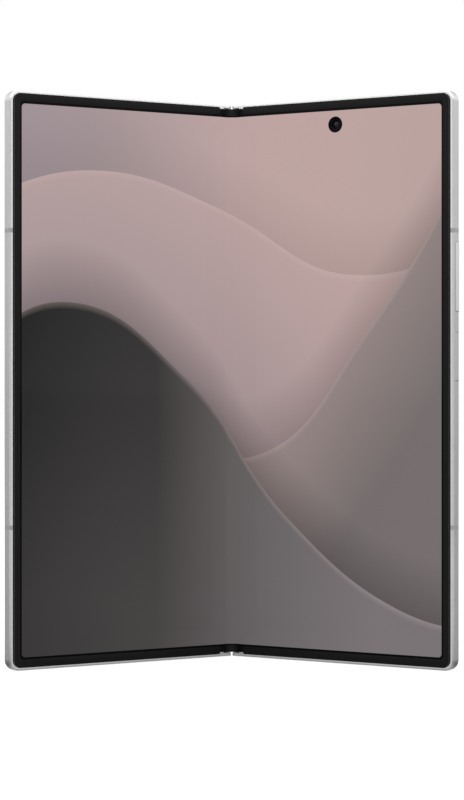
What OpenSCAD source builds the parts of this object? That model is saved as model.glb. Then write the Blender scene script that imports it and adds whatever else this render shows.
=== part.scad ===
// Foldable smartphone, standing half open on its bottom edges.
// World frame: X runs to the right, Y away from the viewer of the inner screen, Z up.
// Each half is drawn flat in its own frame and then turned about its own fold axis:
// u (along X) is the distance from the fold line, y the depth behind the metal rim, z the height.

/* [Halves] */
// Height of the phone standing on its bottom edges
phone_height = 158.4; // [152:0.1:170]
// Width of one half, from the fold line to its free edge
half_width = 71.6; // [70:0.1:78]
// Thickness of one half at its metal frame
half_thickness = 4.2; // [4.2:0.05:4.8]
// Radius of the two free corners of a half
corner_radius = 2.9; // [2.4:0.1:8]
// Thickness of the perimeter wall
wall = 1.6; // [1.4:0.05:2]
// Width of the bright rim beside the bezel
rim_width = 0.9; // [0.7:0.05:1]
// Width of the rim round the back glass
back_rim_width = 0.7; // [0.5:0.05:0.9]
// Chamfer along the outer edges of the frame
edge_chamfer = 0.4; // [0.1:0.05:0.4]
// Thickness of the plate inside the frame
mid_plate_thickness = 0.5; // [0.3:0.05:0.6]
// Thickness of the glass on the back of each half
back_glass_thickness = 0.55; // [0.4:0.05:0.55]
// Height of one antenna band
antenna_height = 1.2; // [0.8:0.1:2]
// Distance of the lower antenna bands from the bottom edge
antenna_inset = 39.1; // [30:0.1:39.5]
// Distance of the upper antenna bands from the top edge
antenna_top_inset = 38.3; // [30:0.1:39]

/* [Opening] */
// Turn of each half away from flat
fold_turn = 32; // [0:0.5:90]

/* [Hinge] */
// Gap between the two halves along the fold line
fold_gap = 0.5; // [0.45:0.05:0.8]
// Depth of the fold axes behind the rim
axis_depth = 1.05; // [1:0.01:1.15]
// Wall of the spine cover
spine_wall = 0.35; // [0.25:0.05:0.4]
// Running gap between the spine cover and the halves
spine_gap = 0.12; // [0.08:0.01:0.15]
// Gap between each end of the spine cover and the end walls
spine_end_gap = 0.3; // [0.2:0.05:0.5]
// Thickness of the lip that covers the spine when the phone is flat
lip_thickness = 0.53; // [0.45:0.01:0.55]
// Angle behind the screen plane at which the spine wall ends
spine_tip_angle = 20; // [18:1:30]
// Distance of each hinge module from the end of the phone
module_inset = 6; // [4:0.5:12]
// Outer radius of the curved rails
rail_outer = 1.8; // [1.7:0.01:1.82]
// Inner radius of the curved rails
rail_inner = 1.2; // [1.1:0.01:1.25]
// Clearance of the curved rails in their tracks
rail_clearance = 0.05; // [0.03:0.01:0.06]
// Pitch radius of the timing gears
gear_pitch = 0.6; // [0.58:0.01:0.6]
// Number of teeth on each timing gear
gear_teeth = 10; // [8:2:12]
// Radius of the gear shafts
shaft_radius = 0.28; // [0.22:0.01:0.3]
// Clearance of the shafts in their bearings
shaft_clearance = 0.03; // [0.02:0.01:0.04]

/* [Inner screen] */
// Height of the bezel above the rim
bezel_height = 0.2; // [0.1:0.05:0.22]
// Thickness of the bezel
bezel_thickness = 0.25; // [0.15:0.01:0.25]
// Width of the bezel along the free edge
bezel_side = 2.2; // [1.5:0.05:4]
// Width of the bezel along the top and bottom edges
bezel_end = 2.1; // [1.4:0.05:4]
// Distance from the fold line at which the bezel starts
bezel_start = 4.25; // [2.9:0.05:4.5]
// Depth of the screen surface behind the rim
screen_depth = 0.1; // [0.08:0.01:0.12]
// Thickness of the flexible screen
screen_thickness = 0.35; // [0.25:0.01:0.37]
// Thickness of the metal sheet behind the screen
support_thickness = 0.15; // [0.1:0.01:0.17]
// Half of the length that bends at the fold
fold_reach = 3.4; // [3.2:0.05:3.6]
// Radius of the camera hole in the screen
screen_hole_radius = 2.25; // [2:0.05:3]
// Distance of the inner camera from the fold line
inner_camera_u = 34.6; // [28:0.1:42]
// Distance of the inner camera from the top edge
inner_camera_top = 7.45; // [6.4:0.05:8]

/* [Keys and ports] */
// Length of the volume key
volume_length = 18.9; // [15:0.1:21]
// Distance of the middle of the volume key from the top edge
volume_drop = 50.9; // [50:0.1:53]
// Length of the power key
power_length = 13.2; // [10:0.1:18]
// Distance of the middle of the power key from the top edge
power_drop = 72.7; // [70:0.1:76]
// Width of both keys across the wall
key_width = 1.8; // [1.4:0.1:1.9]
// Height of the volume key above the wall
volume_proud = 0.1; // [0.1:0.05:0.4]
// Clearance round each key
key_clearance = 0.1; // [0.06:0.01:0.15]
// Travel of the keys
key_travel = 0.22; // [0.15:0.01:0.25]
// Width of the charging port opening
port_width = 8.34; // [8.2:0.01:9]
// Height of the charging port opening
port_opening = 2.56; // [2.3:0.01:2.56]
// Distance of the charging port from the fold line
port_u = 36; // [34:0.5:38]
// Radius of the speaker holes
speaker_hole_radius = 0.5; // [0.3:0.05:0.7]
// Width of the SIM tray
tray_width = 14; // [12:0.1:15]
// Length of the SIM tray
tray_length = 19; // [17:0.1:19.5]
// Thickness of the door on the SIM tray
tray_door = 1.4; // [1.2:0.1:1.6]

/* [Rear cameras] */
// Width of the camera island
island_width = 15.6; // [14.5:0.1:16]
// Length of the camera island
island_length = 54; // [52:0.1:55]
// Height of the camera island above the back glass
island_height = 1.5; // [1:0.1:2.5]
// Distance of the camera island from the free edge
island_edge = 3.4; // [3:0.1:5]
// Distance of the camera island from the top edge
island_top = 7.5; // [7:0.1:9]
// Distance between neighbouring cameras
camera_pitch = 19.2; // [18:0.1:19.4]
// Outer radius of the lens rings
lens_ring_radius = 6; // [5:0.1:6.5]
// Height of the lens rings above the island
lens_ring_height = 0.9; // [0.5:0.1:1.4]

/* [Batteries and boards] */
// Distance of the batteries from the free edges
battery_edge = 7.6; // [7:0.1:16]
// Length of the main board
main_board_length = 59; // [55:0.5:66]
// Length of the board at the bottom of the left half
sub_board_length = 26; // [20:0.5:40]
// Thickness of the circuit boards
board_thickness = 0.4; // [0.3:0.05:0.6]
// Outer radius of the charging coil
coil_radius = 20; // [16:0.5:22]

/* [Hidden] */
$fn = 48;

// Gap between parts that are glued or laid together
glue = 0.05;
// Clearance between parts that are placed side by side
clear = 0.1;
// Length by which a cutting shape runs past the face it cuts
past = 1;

// Fold axes and spine
axis_u = axis_depth + fold_gap / 2;
axis = [axis_u, axis_depth];
lip_y = half_thickness - lip_thickness;
spine_outer = lip_y - spine_gap - axis_depth;
spine_inner = spine_outer - spine_wall;
cavity_radius = spine_outer + spine_gap;
end_wall = rim_width;
spine_z = end_wall + spine_end_gap;
spine_cap = 0.5;
spine_front_y = 0.8;

// Layers of a half, from the bezel to the back glass
bezel_y = -bezel_height;
bezel_seat_y = bezel_y + bezel_thickness + glue;
screen_back_y = screen_depth + screen_thickness;
support_back_y = screen_back_y + support_thickness;
mid_y = support_back_y + glue;
mid_back_y = mid_y + mid_plate_thickness;
glass_y = half_thickness - back_glass_thickness;
glass_seat_y = glass_y - glue;
inside_y = mid_back_y + clear;
panel_thickness = 0.4;
panel_y = glass_seat_y - panel_thickness;
inside_back_y = panel_y - clear;

// Hinge bar, which carries the curved rails' plates and ends in the lip over the spine
bar_y = axis_depth + 0.65;
bar_u = axis_u + cavity_radius + 0.03;
bar_end_u = bar_u + 1.65;
bar_rib = 0.7;
glass_u = bar_u - 0.7;

// Frame: slope along its back edge, and heights of its antenna bands
back_slope_width = back_rim_width - 0.1;
back_slope_depth = 1.05;
antenna_places = [antenna_inset, phone_height - antenna_top_inset];

// Inner screen
panel_inset = wall + clear + glue;
bezel_inner_radius = 1;
bezel_end_radius = 0.6;
strip_height = 2.05;
strip_inset = end_wall + 0.25;
strip_reach = fold_reach - 0.55;
strip_depth = screen_depth - 0.15;
bend_steps = 16;

// Hinge module: places along the module, measured from its outer end
module_length = 29;
gear_slot = [3, 5.2];
arm_slot = [7.2, 10.2];
spring_slot = [12.2, 15];
lower_rail_slot = [17.5, 21.5];
upper_rail_slot = [23, 27];
slot_clearance = 0.2;
block_gap = 0.05;
block_radius = spine_inner - block_gap;
block_y = axis_depth - 0.05;
rail_plate_y = axis_depth - 0.1;
rail_plate_back_y = bar_y - glue;
rail_plate_u = axis_u + rail_inner + 0.05;
rail_plate_end_u = bar_end_u + 3;
rail_start = -5;
rail_stop = 150;

// Timing gears, with half a tooth step between a tooth and the gap beside it
half_step = 180 / gear_teeth;
gear_addendum = 0.12;
gear_dedendum = 0.15;
gear_outer = gear_pitch + gear_addendum;
gear_root = gear_pitch - gear_dedendum;
web = 0.17;
web_gap = 0.06;
gear_y = axis_depth + block_radius - web - web_gap - gear_outer;
shaft_u = 3 * gear_pitch;
idler_u = gear_pitch;
pin_radius = shaft_radius - 0.03;
arm_boss = 0.5;
tongue_y = rail_plate_y + 0.35;
tongue_back_y = rail_plate_back_y + 0.01;
tongue_end_u = 7;
spring_outer = 0.62;
spring_count = 7;
spring_pitch = 0.34;
spring_thickness = 0.08;
spring_rise = 0.1;

// Screws
screw_radius = 0.35;
screw_hole = screw_radius + 0.03;
screw_head = 0.8;
screw_head_height = 0.22;
spine_screw_head = 0.55;
boss_radius = 1.2;
boss_back_y = inside_y + 0.55;
plate_screw_u = bar_end_u + 1.3;
plate_screws = [lower_rail_slot[0] + 0.7, upper_rail_slot[1] - 1.2];

// Flat cable across the hinge
cable_y = mid_back_y + clear;
cable_thickness = 0.1;
cable_z = [64, 94];
cable_end_u = 9;
cable_plug = 2;

// Keys
key_y = (half_thickness + 0.1) / 2 + 0.05;
key_flange = 0.8;
key_flange_thickness = 0.4;
key_flange_gap = 0.3;
volume_z = phone_height - volume_drop;
power_z = phone_height - power_drop;
switch_gap = 0.06;
switch_radius = 0.6;
switch_height = 0.4;
switch_strip = 0.2;

// Cameras
glass_middle_u = (glass_u + half_width - back_rim_width) / 2;
island_u = half_width - island_edge - island_width / 2;
island_z = phone_height - island_top - island_length / 2;
camera_rows = [island_z + camera_pitch, island_z, island_z - camera_pitch];
island_back_y = half_thickness + island_height;
island_flange = 0.8;
island_flange_y = glass_seat_y - 0.35;
camera_barrel = 4.2;
camera_body = 10.6;
small_camera_body = 6.4;
flash_radius = 1.5;
flash_spot = [island_u + 4.6, island_z + camera_pitch / 2];
inner_camera_z = phone_height - inner_camera_top;
cover_camera_u = glass_middle_u;
cover_camera_z = phone_height - 9;
cover_camera_radius = 1.7;
cover_camera_body = 5.6;

// Earpiece at the top of the left half, with its slit in the cover glass
earpiece_reach = 7;
earpiece_z = [phone_height - wall - 3.6, phone_height - wall - 0.2];
slit_reach = 4.5;
slit_z = [phone_height - wall - 1.6, phone_height - wall - 1.1];

// SIM tray, which slides out of the top edge of the left half
tray_u = half_width - corner_radius - 1.1 - tray_width / 2;
tray_y = [inside_y + 0.3, inside_y + 1.6];
tray_clearance = 0.1;
socket_wall = 0.5;
socket_z = phone_height - tray_length - 0.8;

// Charging port
port_shell = 0.2;
port_depth = 7;
port_tongue = [6.7, 0.7];
port_y = glass_seat_y - 0.02 - port_shell - port_opening / 2;

// Microphones
microphone_u = 20;
microphone_radius = 0.4;

// Boards and batteries
battery_gap = 4;
battery_u = cable_end_u + cable_plug + 1;
motor_size = [13, 10];
battery_corner = 1.5;
board_corner = 1;
board_y = boss_back_y + glue;
board_back_y = board_y + board_thickness;
// Opposite corners of each board and battery, as distance from the fold line and height
sub_board_low = [battery_u, 8];
sub_board_high = [half_width - motor_size.x - 10.6, sub_board_low.y + sub_board_length];
left_battery_low = [battery_u, sub_board_high.y + battery_gap];
left_battery_high = [half_width - battery_edge, socket_z - battery_gap];
port_board_low = [port_u - 11, wall + 2.4];
port_board_high = [port_u + 10, port_board_low.y + 13];
main_board_high = [island_u - camera_body / 2 - 4.1, phone_height - wall - 1.8];
main_board_low = [battery_u, main_board_high.y - main_board_length];
right_battery_low = [battery_u, port_board_high.y + battery_gap - 1];
right_battery_high = [half_width - battery_edge, main_board_low.y - battery_gap];
left_board_screws = [sub_board_low + [3, 3], sub_board_high - [3, 3]];
right_board_screws = [
    main_board_low + [3, 7],
    [main_board_high.x - 3, main_board_low.y + 7],
    [main_board_low.x + 3, main_board_high.y - 4]
];
port_board_screws = [[port_board_low.x + 2, port_board_high.y - 4],
                     port_board_high - [2, 4]];
camera_notch = 4.2;
can_margin = 6;
can_gap = 2;
small_can_width = 9;
coil_u = glass_middle_u;
coil_z = (right_battery_low.y + right_battery_high.y) / 2;
coil_band = 8;

// Speaker
speaker_low = [port_board_high.x + 0.5, wall + 0.4];
speaker_high = [half_width - 5.6, speaker_low.y + 11];
speaker_hole_pitch = 2.6;
speaker_holes = [
    for (i = [-2 : 2]) (speaker_low.x + speaker_high.x) / 2 + speaker_hole_pitch * i
];

// Middle of the phone's depth, which is where the world frame has its Y origin
front_y = axis_depth - (half_width - axis_u) * sin(fold_turn) - axis_depth * cos(fold_turn);
back_y = max(axis_depth + spine_outer,
             axis_depth + axis_depth * sin(fold_turn)
             + (half_thickness - axis_depth) * cos(fold_turn));
origin_y = (front_y + back_y) / 2;

// ---- Placing ----

// Puts a shape drawn in the spine's frame into the world frame
module on_spine() {
    translate([0, -origin_y, 0]) children();
}

// Puts a shape drawn in a flat half's frame into the world frame: side 1 is right, -1 left
module on_half(side) {
    on_spine() mirror([side < 0 ? 1 : 0, 0, 0]) about(axis) children();
}

// Turns a shape by the fold about a line along Z through a point
module about(centre) {
    translate([centre.x, centre.y, 0]) rotate(-fold_turn) translate([-centre.x, -centre.y, 0])
        children();
}

// A shape at the bottom end and its mirror image at the top end
module both_ends() {
    children();
    at_top() children();
}

module at_top() {
    translate([0, 0, phone_height]) mirror([0, 0, 1]) children();
}

// A face-on outline, drawn in u and z, extruded from one depth to another
module layer(y0, y1) {
    translate([0, y1, 0]) rotate([90, 0, 0]) linear_extrude(y1 - y0) children();
}

// A cross-section, drawn in u and y, extruded from one height to another
module tall(z0, z1) {
    translate([0, 0, z0]) linear_extrude(z1 - z0) children();
}

// A block between two corners
module block(from, to) {
    translate(from) cube(to - from);
}

// A rectangle between two corners
module box(from, to) {
    translate(from) square(to - from);
}

// A rectangle with four round corners
module rounded_box(from, to, radius) {
    box(from + [radius, 0], to - [radius, 0]);
    box(from + [0, radius], to - [0, radius]);
    for (u = [from.x + radius, to.x - radius], z = [from.y + radius, to.y - radius])
        translate([u, z]) circle(radius);
}

// Outline of a half, inset from its edges, square at the fold and round at the free corners
module half_outline(inset, radius, from_u, side_inset = -1) {
    reach = half_width - (side_inset < 0 ? inset : side_inset);
    box([from_u, inset], [reach - 2 * radius, phone_height - inset]);
    rounded_box([reach - 4 * radius, inset], [reach, phone_height - inset], radius);
}

// A round pin or hole along the depth
module pin_y(u, z, radius, y0, y1) {
    translate([u, y1, z]) rotate([90, 0, 0]) cylinder(h = y1 - y0, r = radius);
}

// ---- Metal frame ----

// Cross-section of the perimeter wall: distance from the outer face, then depth
module wall_profile() {
    polygon([
        [edge_chamfer, 0], [rim_width, 0], [rim_width, bezel_seat_y], [wall, bezel_seat_y],
        [wall, glass_seat_y], [back_rim_width, glass_seat_y],
        [back_rim_width, half_thickness], [back_slope_width, half_thickness],
        [0, half_thickness - back_slope_depth], [0, edge_chamfer]
    ]);
}

module bottom_wall() {
    length = half_width - corner_radius - fold_gap / 2;
    translate([half_width - corner_radius, 0, 0]) rotate([0, -90, 0])
        linear_extrude(length) wall_profile();
    translate([half_width - corner_radius, 0, corner_radius]) rotate([-90, 0, 0])
        rotate_extrude(angle = 90) translate([corner_radius, 0]) mirror([1, 0]) wall_profile();
}

module perimeter_wall() {
    both_ends() bottom_wall();
    translate([half_width, 0, corner_radius]) mirror([1, 0, 0])
        linear_extrude(phone_height - 2 * corner_radius) wall_profile();
}

module hinge_bar() {
    tall(end_wall / 2, phone_height - end_wall / 2) difference() {
        union() {
            box([fold_gap / 2, bar_y], [bar_end_u, half_thickness]);
            box([bar_end_u - bar_rib, mid_y], [bar_end_u, bar_y + past]);
        }
        box([glass_u - glue, glass_seat_y], [bar_end_u + past, half_thickness + past]);
    }
}

// Space in which the spine and the flexible middle of the screen move
module hinge_cavity() {
    tall(end_wall, phone_height - end_wall) {
        translate(axis) circle(cavity_radius);
        box([-past, -past], [axis_u, lip_y]);
        box([-past, -past], [bar_u, bar_y]);
    }
    // The front corners of the end walls roll past each other
    tall(-past, phone_height + past) difference() {
        box([0, -past], axis);
        translate(axis) circle(axis_depth);
    }
}

// Blocks that the rail plates are screwed to
module rail_bosses() {
    both_ends() difference() {
        block([bar_u, bar_y, module_inset + lower_rail_slot[0] - 2],
              [rail_plate_end_u + 0.4, inside_back_y, module_inset + module_length - 1]);
        for (z = plate_screws)
            pin_y(plate_screw_u, module_inset + z, screw_hole, bar_y - past, inside_back_y);
    }
}

// Windows in the mid plate for the rail plates and the timing tongues
module module_windows() {
    both_ends() {
        block([bar_u - past, mid_y - clear, module_inset + arm_slot[0] - 0.4],
              [rail_plate_end_u + 0.8, bar_y, module_inset + module_length - 0.8]);
        block([bar_u - past, mid_y - clear, module_inset + arm_slot[0]],
              [bar_end_u + past, bar_y + 0.15, module_inset + arm_slot[1]]);
    }
}

module antenna_slots() {
    for (z = antenna_places)
        translate([half_width - wall, -past, z - antenna_height / 2])
            cube([wall + past, half_thickness + 2 * past, antenna_height]);
}

module board_bosses(places) {
    for (p = places) difference() {
        pin_y(p.x, p.y, boss_radius, mid_y, boss_back_y);
        pin_y(p.x, p.y, screw_hole, mid_y - past, boss_back_y + past);
    }
}

module frame_blank(board_screws) {
    difference() {
        union() {
            perimeter_wall();
            layer(mid_y, mid_back_y)
                half_outline(rim_width, corner_radius - rim_width, bar_u);
            hinge_bar();
        }
        hinge_cavity();
        module_windows();
        antenna_slots();
        block([bar_u, cable_y - glue, cable_z[0] - clear],
              [bar_end_u + past, cable_y + cable_thickness + clear, cable_z[1] + clear]);
        for (p = board_screws)
            pin_y(p.x, p.y, screw_hole, mid_y - past, mid_back_y + past);
    }
    rail_bosses();
    board_bosses(board_screws);
}

module microphone_hole(z) {
    translate([microphone_u, key_y, z - past])
        cylinder(h = wall + 2 * past, r = microphone_radius);
}

module left_frame() {
    color("silver") on_half(-1) difference() {
        frame_blank(left_board_screws);
        tray_slot();
        microphone_hole(0);
    }
}

module right_frame() {
    color("silver") on_half(1) difference() {
        frame_blank(concat(right_board_screws, port_board_screws));
        port_mouth();
        key_slot(volume_z, volume_length);
        key_slot(power_z, power_length);
        for (u = speaker_holes)
            translate([u, key_y, -past])
                cylinder(h = wall + 2 * past, r = speaker_hole_radius);
        pin_y(inner_camera_u, inner_camera_z, screen_hole_radius + clear,
              mid_y - past, mid_back_y + past);
        microphone_hole(phone_height - wall);
    }
}

module antenna_bands(side) {
    color("darkgray") on_half(side)
        for (z = antenna_places)
            translate([half_width, 0, z - antenna_height / 2]) mirror([1, 0, 0])
                linear_extrude(antenna_height) wall_profile();
}

module left_antenna_bands() {
    antenna_bands(-1);
}

module right_antenna_bands() {
    antenna_bands(1);
}

// ---- Inner screen ----

module bezel(side) {
    color("black") on_half(side) layer(bezel_y, bezel_y + bezel_thickness) difference() {
        half_outline(rim_width, corner_radius - rim_width, bezel_start);
        half_outline(rim_width + bezel_end, bezel_inner_radius, bezel_start - past,
                     rim_width + bezel_side);
        for (z = [rim_width, phone_height - rim_width])
            bezel_end_corner(z);
        for (z = [rim_width + bezel_end, phone_height - rim_width - bezel_end])
            bezel_end_corner(z);
    }
}

// What the rounded end of a bezel arm leaves out of a square corner
module bezel_end_corner(z) {
    inward = z < phone_height / 2 ? 1 : -1;
    outer = min(z, phone_height - z) < rim_width + bezel_end / 2 ? inward : -inward;
    translate([bezel_start, z]) difference() {
        box([-past, -bezel_end_radius], [bezel_end_radius, bezel_end_radius]);
        translate([bezel_end_radius, outer * bezel_end_radius]) circle(bezel_end_radius);
    }
}

module left_bezel() {
    bezel(-1);
}

module right_bezel() {
    bezel(1);
}

module screen_sheet(y0, y1) {
    layer(y0, y1) half_outline(panel_inset, corner_radius - panel_inset, fold_reach);
}

module inner_display_left() {
    color("rosybrown") on_half(-1) screen_sheet(screen_depth, screen_back_y);
}

module inner_display_right() {
    color("rosybrown") on_half(1) difference() {
        screen_sheet(screen_depth, screen_back_y);
        pin_y(inner_camera_u, inner_camera_z, screen_hole_radius, -past, past);
    }
}

module display_plate_left() {
    color("dimgray") on_half(-1) screen_sheet(screen_back_y, support_back_y);
}

module display_plate_right() {
    color("dimgray") on_half(1) difference() {
        screen_sheet(screen_back_y, support_back_y);
        pin_y(inner_camera_u, inner_camera_z, screen_hole_radius, -past, past);
    }
}

// A point of the flat sheet, turned about the fold axis by a share of the fold
function turned(q, share) =
    let (angle = -fold_turn * share, d = q - axis)
    axis + [d.x * cos(angle) - d.y * sin(angle), d.x * sin(angle) + d.y * cos(angle)];

// The share grows smoothly from 0 at the fold line to 1 where the stiff part starts
bend_end_x = turned([fold_reach, screen_depth], 1).x;

function smooth(t) = let (s = min(max(t, 0), 1)) s * s * (3 - 2 * s);

// The share depends on where the point ends up, so it is found in a few rounds
function settled(q, share, rounds) =
    rounds == 0 ? share : settled(q, smooth(turned(q, share).x / bend_end_x), rounds - 1);

function bent(u, y) =
    let (q = [abs(u), y], p = turned(q, settled(q, abs(u) / fold_reach, 20)))
    [sign(u) * p.x, p.y];

// A sheet that bends over the fold, from one depth and height to another
module bent_sheet(y0, y1, reach, z0, z1) {
    tall(z0, z1) polygon(concat(
        [for (i = [-bend_steps : bend_steps]) bent(reach * i / bend_steps, y0)],
        [for (i = [bend_steps : -1 : -bend_steps]) bent(reach * i / bend_steps, y1)]
    ));
}

module display_fold_strip() {
    color("rosybrown") on_spine()
        bent_sheet(screen_depth, screen_back_y, fold_reach,
                   panel_inset, phone_height - panel_inset);
}

module hinge_lattice() {
    color("dimgray") on_spine()
        bent_sheet(screen_back_y, support_back_y, fold_reach,
                   panel_inset, phone_height - panel_inset);
}

module hinge_end_strip() {
    bent_sheet(strip_depth, screen_depth - 0.02, strip_reach,
               strip_inset, strip_inset + strip_height);
}

module hinge_end_strip_bottom() {
    color("black") on_spine() hinge_end_strip();
}

module hinge_end_strip_top() {
    color("black") on_spine() at_top() hinge_end_strip();
}

module hinge_flex_cable() {
    color("goldenrod") on_spine()
        bent_sheet(cable_y, cable_y + cable_thickness, fold_reach, cable_z[0], cable_z[1]);
}

// Rest of the flat cable, from the fold to its plug on a board
module flex_tail(side) {
    color("goldenrod") on_half(side) {
        block([fold_reach, cable_y, cable_z[0]],
              [cable_end_u + cable_plug, cable_y + cable_thickness, cable_z[1]]);
        block([cable_end_u, cable_y, cable_z[0] + 4 * cable_plug],
              [cable_end_u + cable_plug, cable_y + 0.9, cable_z[1] - 4 * cable_plug]);
    }
}

module flex_tail_left() {
    flex_tail(-1);
}

module flex_tail_right() {
    flex_tail(1);
}

// ---- Hinge ----

// Cross-section of the spine: two circles about the fold axes and what lies between them
module spine_section(radius) {
    for (side = [-1, 1])
        translate([side * axis_u, axis_depth]) circle(radius);
    box([-axis_u, axis_depth - radius], [axis_u, axis_depth + radius]);
}

module spine_cover() {
    reach = axis_u + spine_outer + past;
    tip = spine_outer + past;
    color("silver") on_spine() {
        tall(spine_z, phone_height - spine_z) difference() {
            spine_section(spine_outer);
            spine_section(spine_inner);
            box([-axis_u, -reach], [axis_u, axis_depth]);
            for (side = [-1, 1])
                translate([side * axis_u, axis_depth]) polygon([
                    [0, 0], side * tip * [cos(spine_tip_angle), 0]
                            + [0, tip * sin(spine_tip_angle)],
                    [side * reach, -reach], [0, -reach]
                ]);
        }
        both_ends() tall(spine_z, spine_z + spine_cap) difference() {
            spine_section(spine_outer);
            box([-reach, -reach], [reach, spine_front_y]);
        }
    }
}

// Block in the spine with the curved tracks, the gear pocket and the shaft bearings
module hinge_base() {
    z0 = module_inset;
    pocket_u = shaft_u + gear_outer + 0.08;
    pocket_y = axis_depth + block_radius - web;
    color("gray") difference() {
        tall(z0, z0 + module_length) difference() {
            spine_section(block_radius);
            box([-2 * block_radius, -2 * block_radius], [2 * block_radius, block_y]);
        }
        for (slot = [gear_slot, spring_slot])
            tall(z0 + slot[0], z0 + slot[1]) box([-pocket_u, 0], [pocket_u, pocket_y]);
        tall(z0 + arm_slot[0], z0 + arm_slot[1])
            box([-2 * block_radius, 0], [2 * block_radius, gear_y + arm_boss + clear]);
        rail_track(1, lower_rail_slot);
        rail_track(-1, upper_rail_slot);
        for (side = [-1, 1]) {
            translate([side * shaft_u, gear_y, z0 + gear_slot[0] - 2])
                cylinder(h = spring_slot[1] + 1, r = shaft_radius + shaft_clearance);
            translate([side * idler_u, gear_y, z0 + gear_slot[0] - 2])
                cylinder(h = arm_slot[0] - gear_slot[0] + 2, r = pin_radius + shaft_clearance);
        }
        for (z = spine_screw_rows())
            pin_y(0, z, screw_hole, 0, 2 * axis_depth + block_radius);
    }
}

// Heights of the screws that hold the block in the spine
function spine_screw_rows() =
    [module_inset + (lower_rail_slot[1] + upper_rail_slot[0]) / 2,
     module_inset + upper_rail_slot[1] + 1];

// Curved track for one rail, open towards its half
module rail_track(side, slot) {
    reach = axis_u + block_radius + past;
    tall(module_inset + slot[0], module_inset + slot[1]) mirror([side < 0 ? 1 : 0, 0]) {
        translate(axis) difference() {
            circle(rail_outer + rail_clearance);
            circle(rail_inner - rail_clearance);
        }
        box([axis_u + rail_inner - rail_clearance, 0], [reach, rail_plate_back_y + clear]);
    }
}

module hinge_base_bottom() {
    on_spine() hinge_base();
}

module hinge_base_top() {
    on_spine() at_top() hinge_base();
}

// Plate on the hinge bar with a curved rail that runs in the block's track
module rotator(slot) {
    z0 = module_inset + slot[0] + slot_clearance;
    z1 = module_inset + slot[1] - slot_clearance;
    sector = [for (a = [rail_start : 31 : rail_stop]) 2 * rail_outer * [cos(a), sin(a)]];
    tall(z0, z1) {
        translate(axis) difference() {
            intersection() {
                circle(rail_outer);
                polygon(concat([[0, 0]], sector));
                box([-2 * rail_outer, rail_plate_y - axis_depth], 2 * [rail_outer, rail_outer]);
            }
            circle(rail_inner);
        }
        box([rail_plate_u, rail_plate_y], [rail_plate_end_u, rail_plate_back_y]);
    }
    difference() {
        block([bar_u + 0.4, rail_plate_y, module_inset + plate_screws[0] - 1.5],
              [rail_plate_end_u, rail_plate_back_y, module_inset + plate_screws[1] + 1.5]);
        for (z = plate_screws)
            pin_y(plate_screw_u, module_inset + z, screw_hole + 0.02, 0, bar_y);
    }
}

module rotators(side, slot) {
    color("darkgray") on_half(side) both_ends() difference() {
        rotator(slot);
        for (z = plate_screws)
            pin_y(plate_screw_u, module_inset + z, screw_hole + 0.02, 0, bar_y);
    }
}

module left_rotators() {
    rotators(-1, upper_rail_slot);
}

module right_rotators() {
    rotators(1, lower_rail_slot);
}

// Gear outline: narrow teeth with straight flanks, the first one at a given angle
module gear_outline(first) {
    step = 360 / gear_teeth;
    tip = 0.10 * step;
    foot = 0.26 * step;
    polygon([
        for (i = [0 : gear_teeth - 1], corner = [[-foot, gear_root], [-tip, gear_outer],
                                                 [tip, gear_outer], [foot, gear_root]])
            let (a = first + i * step + corner[0]) corner[1] * [cos(a), sin(a)]
    ]);
}

// Shaft with its gear and the tongue that slides in the half
module gear_arm(phase) {
    z0 = module_inset;
    about([shaft_u, gear_y]) both_ends() {
        translate([shaft_u, gear_y, 0]) {
            translate([0, 0, z0 + gear_slot[0] - 1.8])
                cylinder(h = spring_slot[1] + 0.6, r = shaft_radius);
            tall(z0 + gear_slot[0] + slot_clearance, z0 + gear_slot[1] - slot_clearance)
                gear_outline(180 + fold_turn + phase);
        }
        tall(z0 + arm_slot[0] + slot_clearance, z0 + arm_slot[1] - slot_clearance) {
            translate([shaft_u, gear_y]) circle(arm_boss);
            box([shaft_u - arm_boss / 2, tongue_y], [shaft_u + arm_boss, gear_y]);
            box([shaft_u - arm_boss / 2, tongue_y], [tongue_end_u, tongue_back_y]);
        }
    }
}

module left_gear_arms() {
    color("dimgray") on_spine() mirror([1, 0, 0]) gear_arm(half_step);
}

module right_gear_arms() {
    color("dimgray") on_spine() gear_arm(0);
}

// Pinned gear between the two shafts
module idler_gear(phase) {
    z0 = module_inset;
    both_ends() translate([idler_u, gear_y, 0]) {
        translate([0, 0, z0 + gear_slot[0] - 1.8])
            cylinder(h = arm_slot[0] - gear_slot[0] + 1.6, r = pin_radius);
        tall(z0 + gear_slot[0] + slot_clearance, z0 + gear_slot[1] - slot_clearance)
            gear_outline(phase);
    }
}

module left_idler_gears() {
    color("darkgray") on_spine() mirror([1, 0, 0]) idler_gear(0);
}

module right_idler_gears() {
    color("darkgray") on_spine() idler_gear(half_step);
}

// Stacks of cone-shaped disc springs on the gear shafts
module hinge_springs() {
    inner = shaft_radius + 2 * shaft_clearance;
    start = module_inset + spring_slot[0] + 0.15;
    color("silver") on_spine() both_ends()
        for (side = [-1, 1], i = [0 : spring_count - 1])
            translate([side * shaft_u, gear_y, start + i * spring_pitch])
                rotate_extrude() polygon([
                    [inner, 0], [spring_outer, spring_rise],
                    [spring_outer, spring_rise + spring_thickness], [inner, spring_thickness]
                ]);
}

// ---- Screws ----

// A flat-head screw along the depth, its head in front
module screw(u, z, radius, head, y0, y1, y2) {
    difference() {
        union() {
            pin_y(u, z, head, y0, y1);
            pin_y(u, z, radius, y1, y2);
        }
        translate([u, y0, z]) rotate([90, 0, 0])
            cylinder(h = 0.24, r = 0.6 * head, center = true, $fn = 6);
    }
}

module hinge_screws() {
    color("gray") on_spine() both_ends() for (z = spine_screw_rows())
        screw(0, z, screw_radius, spine_screw_head, block_y - screw_head_height,
              block_y, axis_depth + block_radius - web);
}

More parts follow.
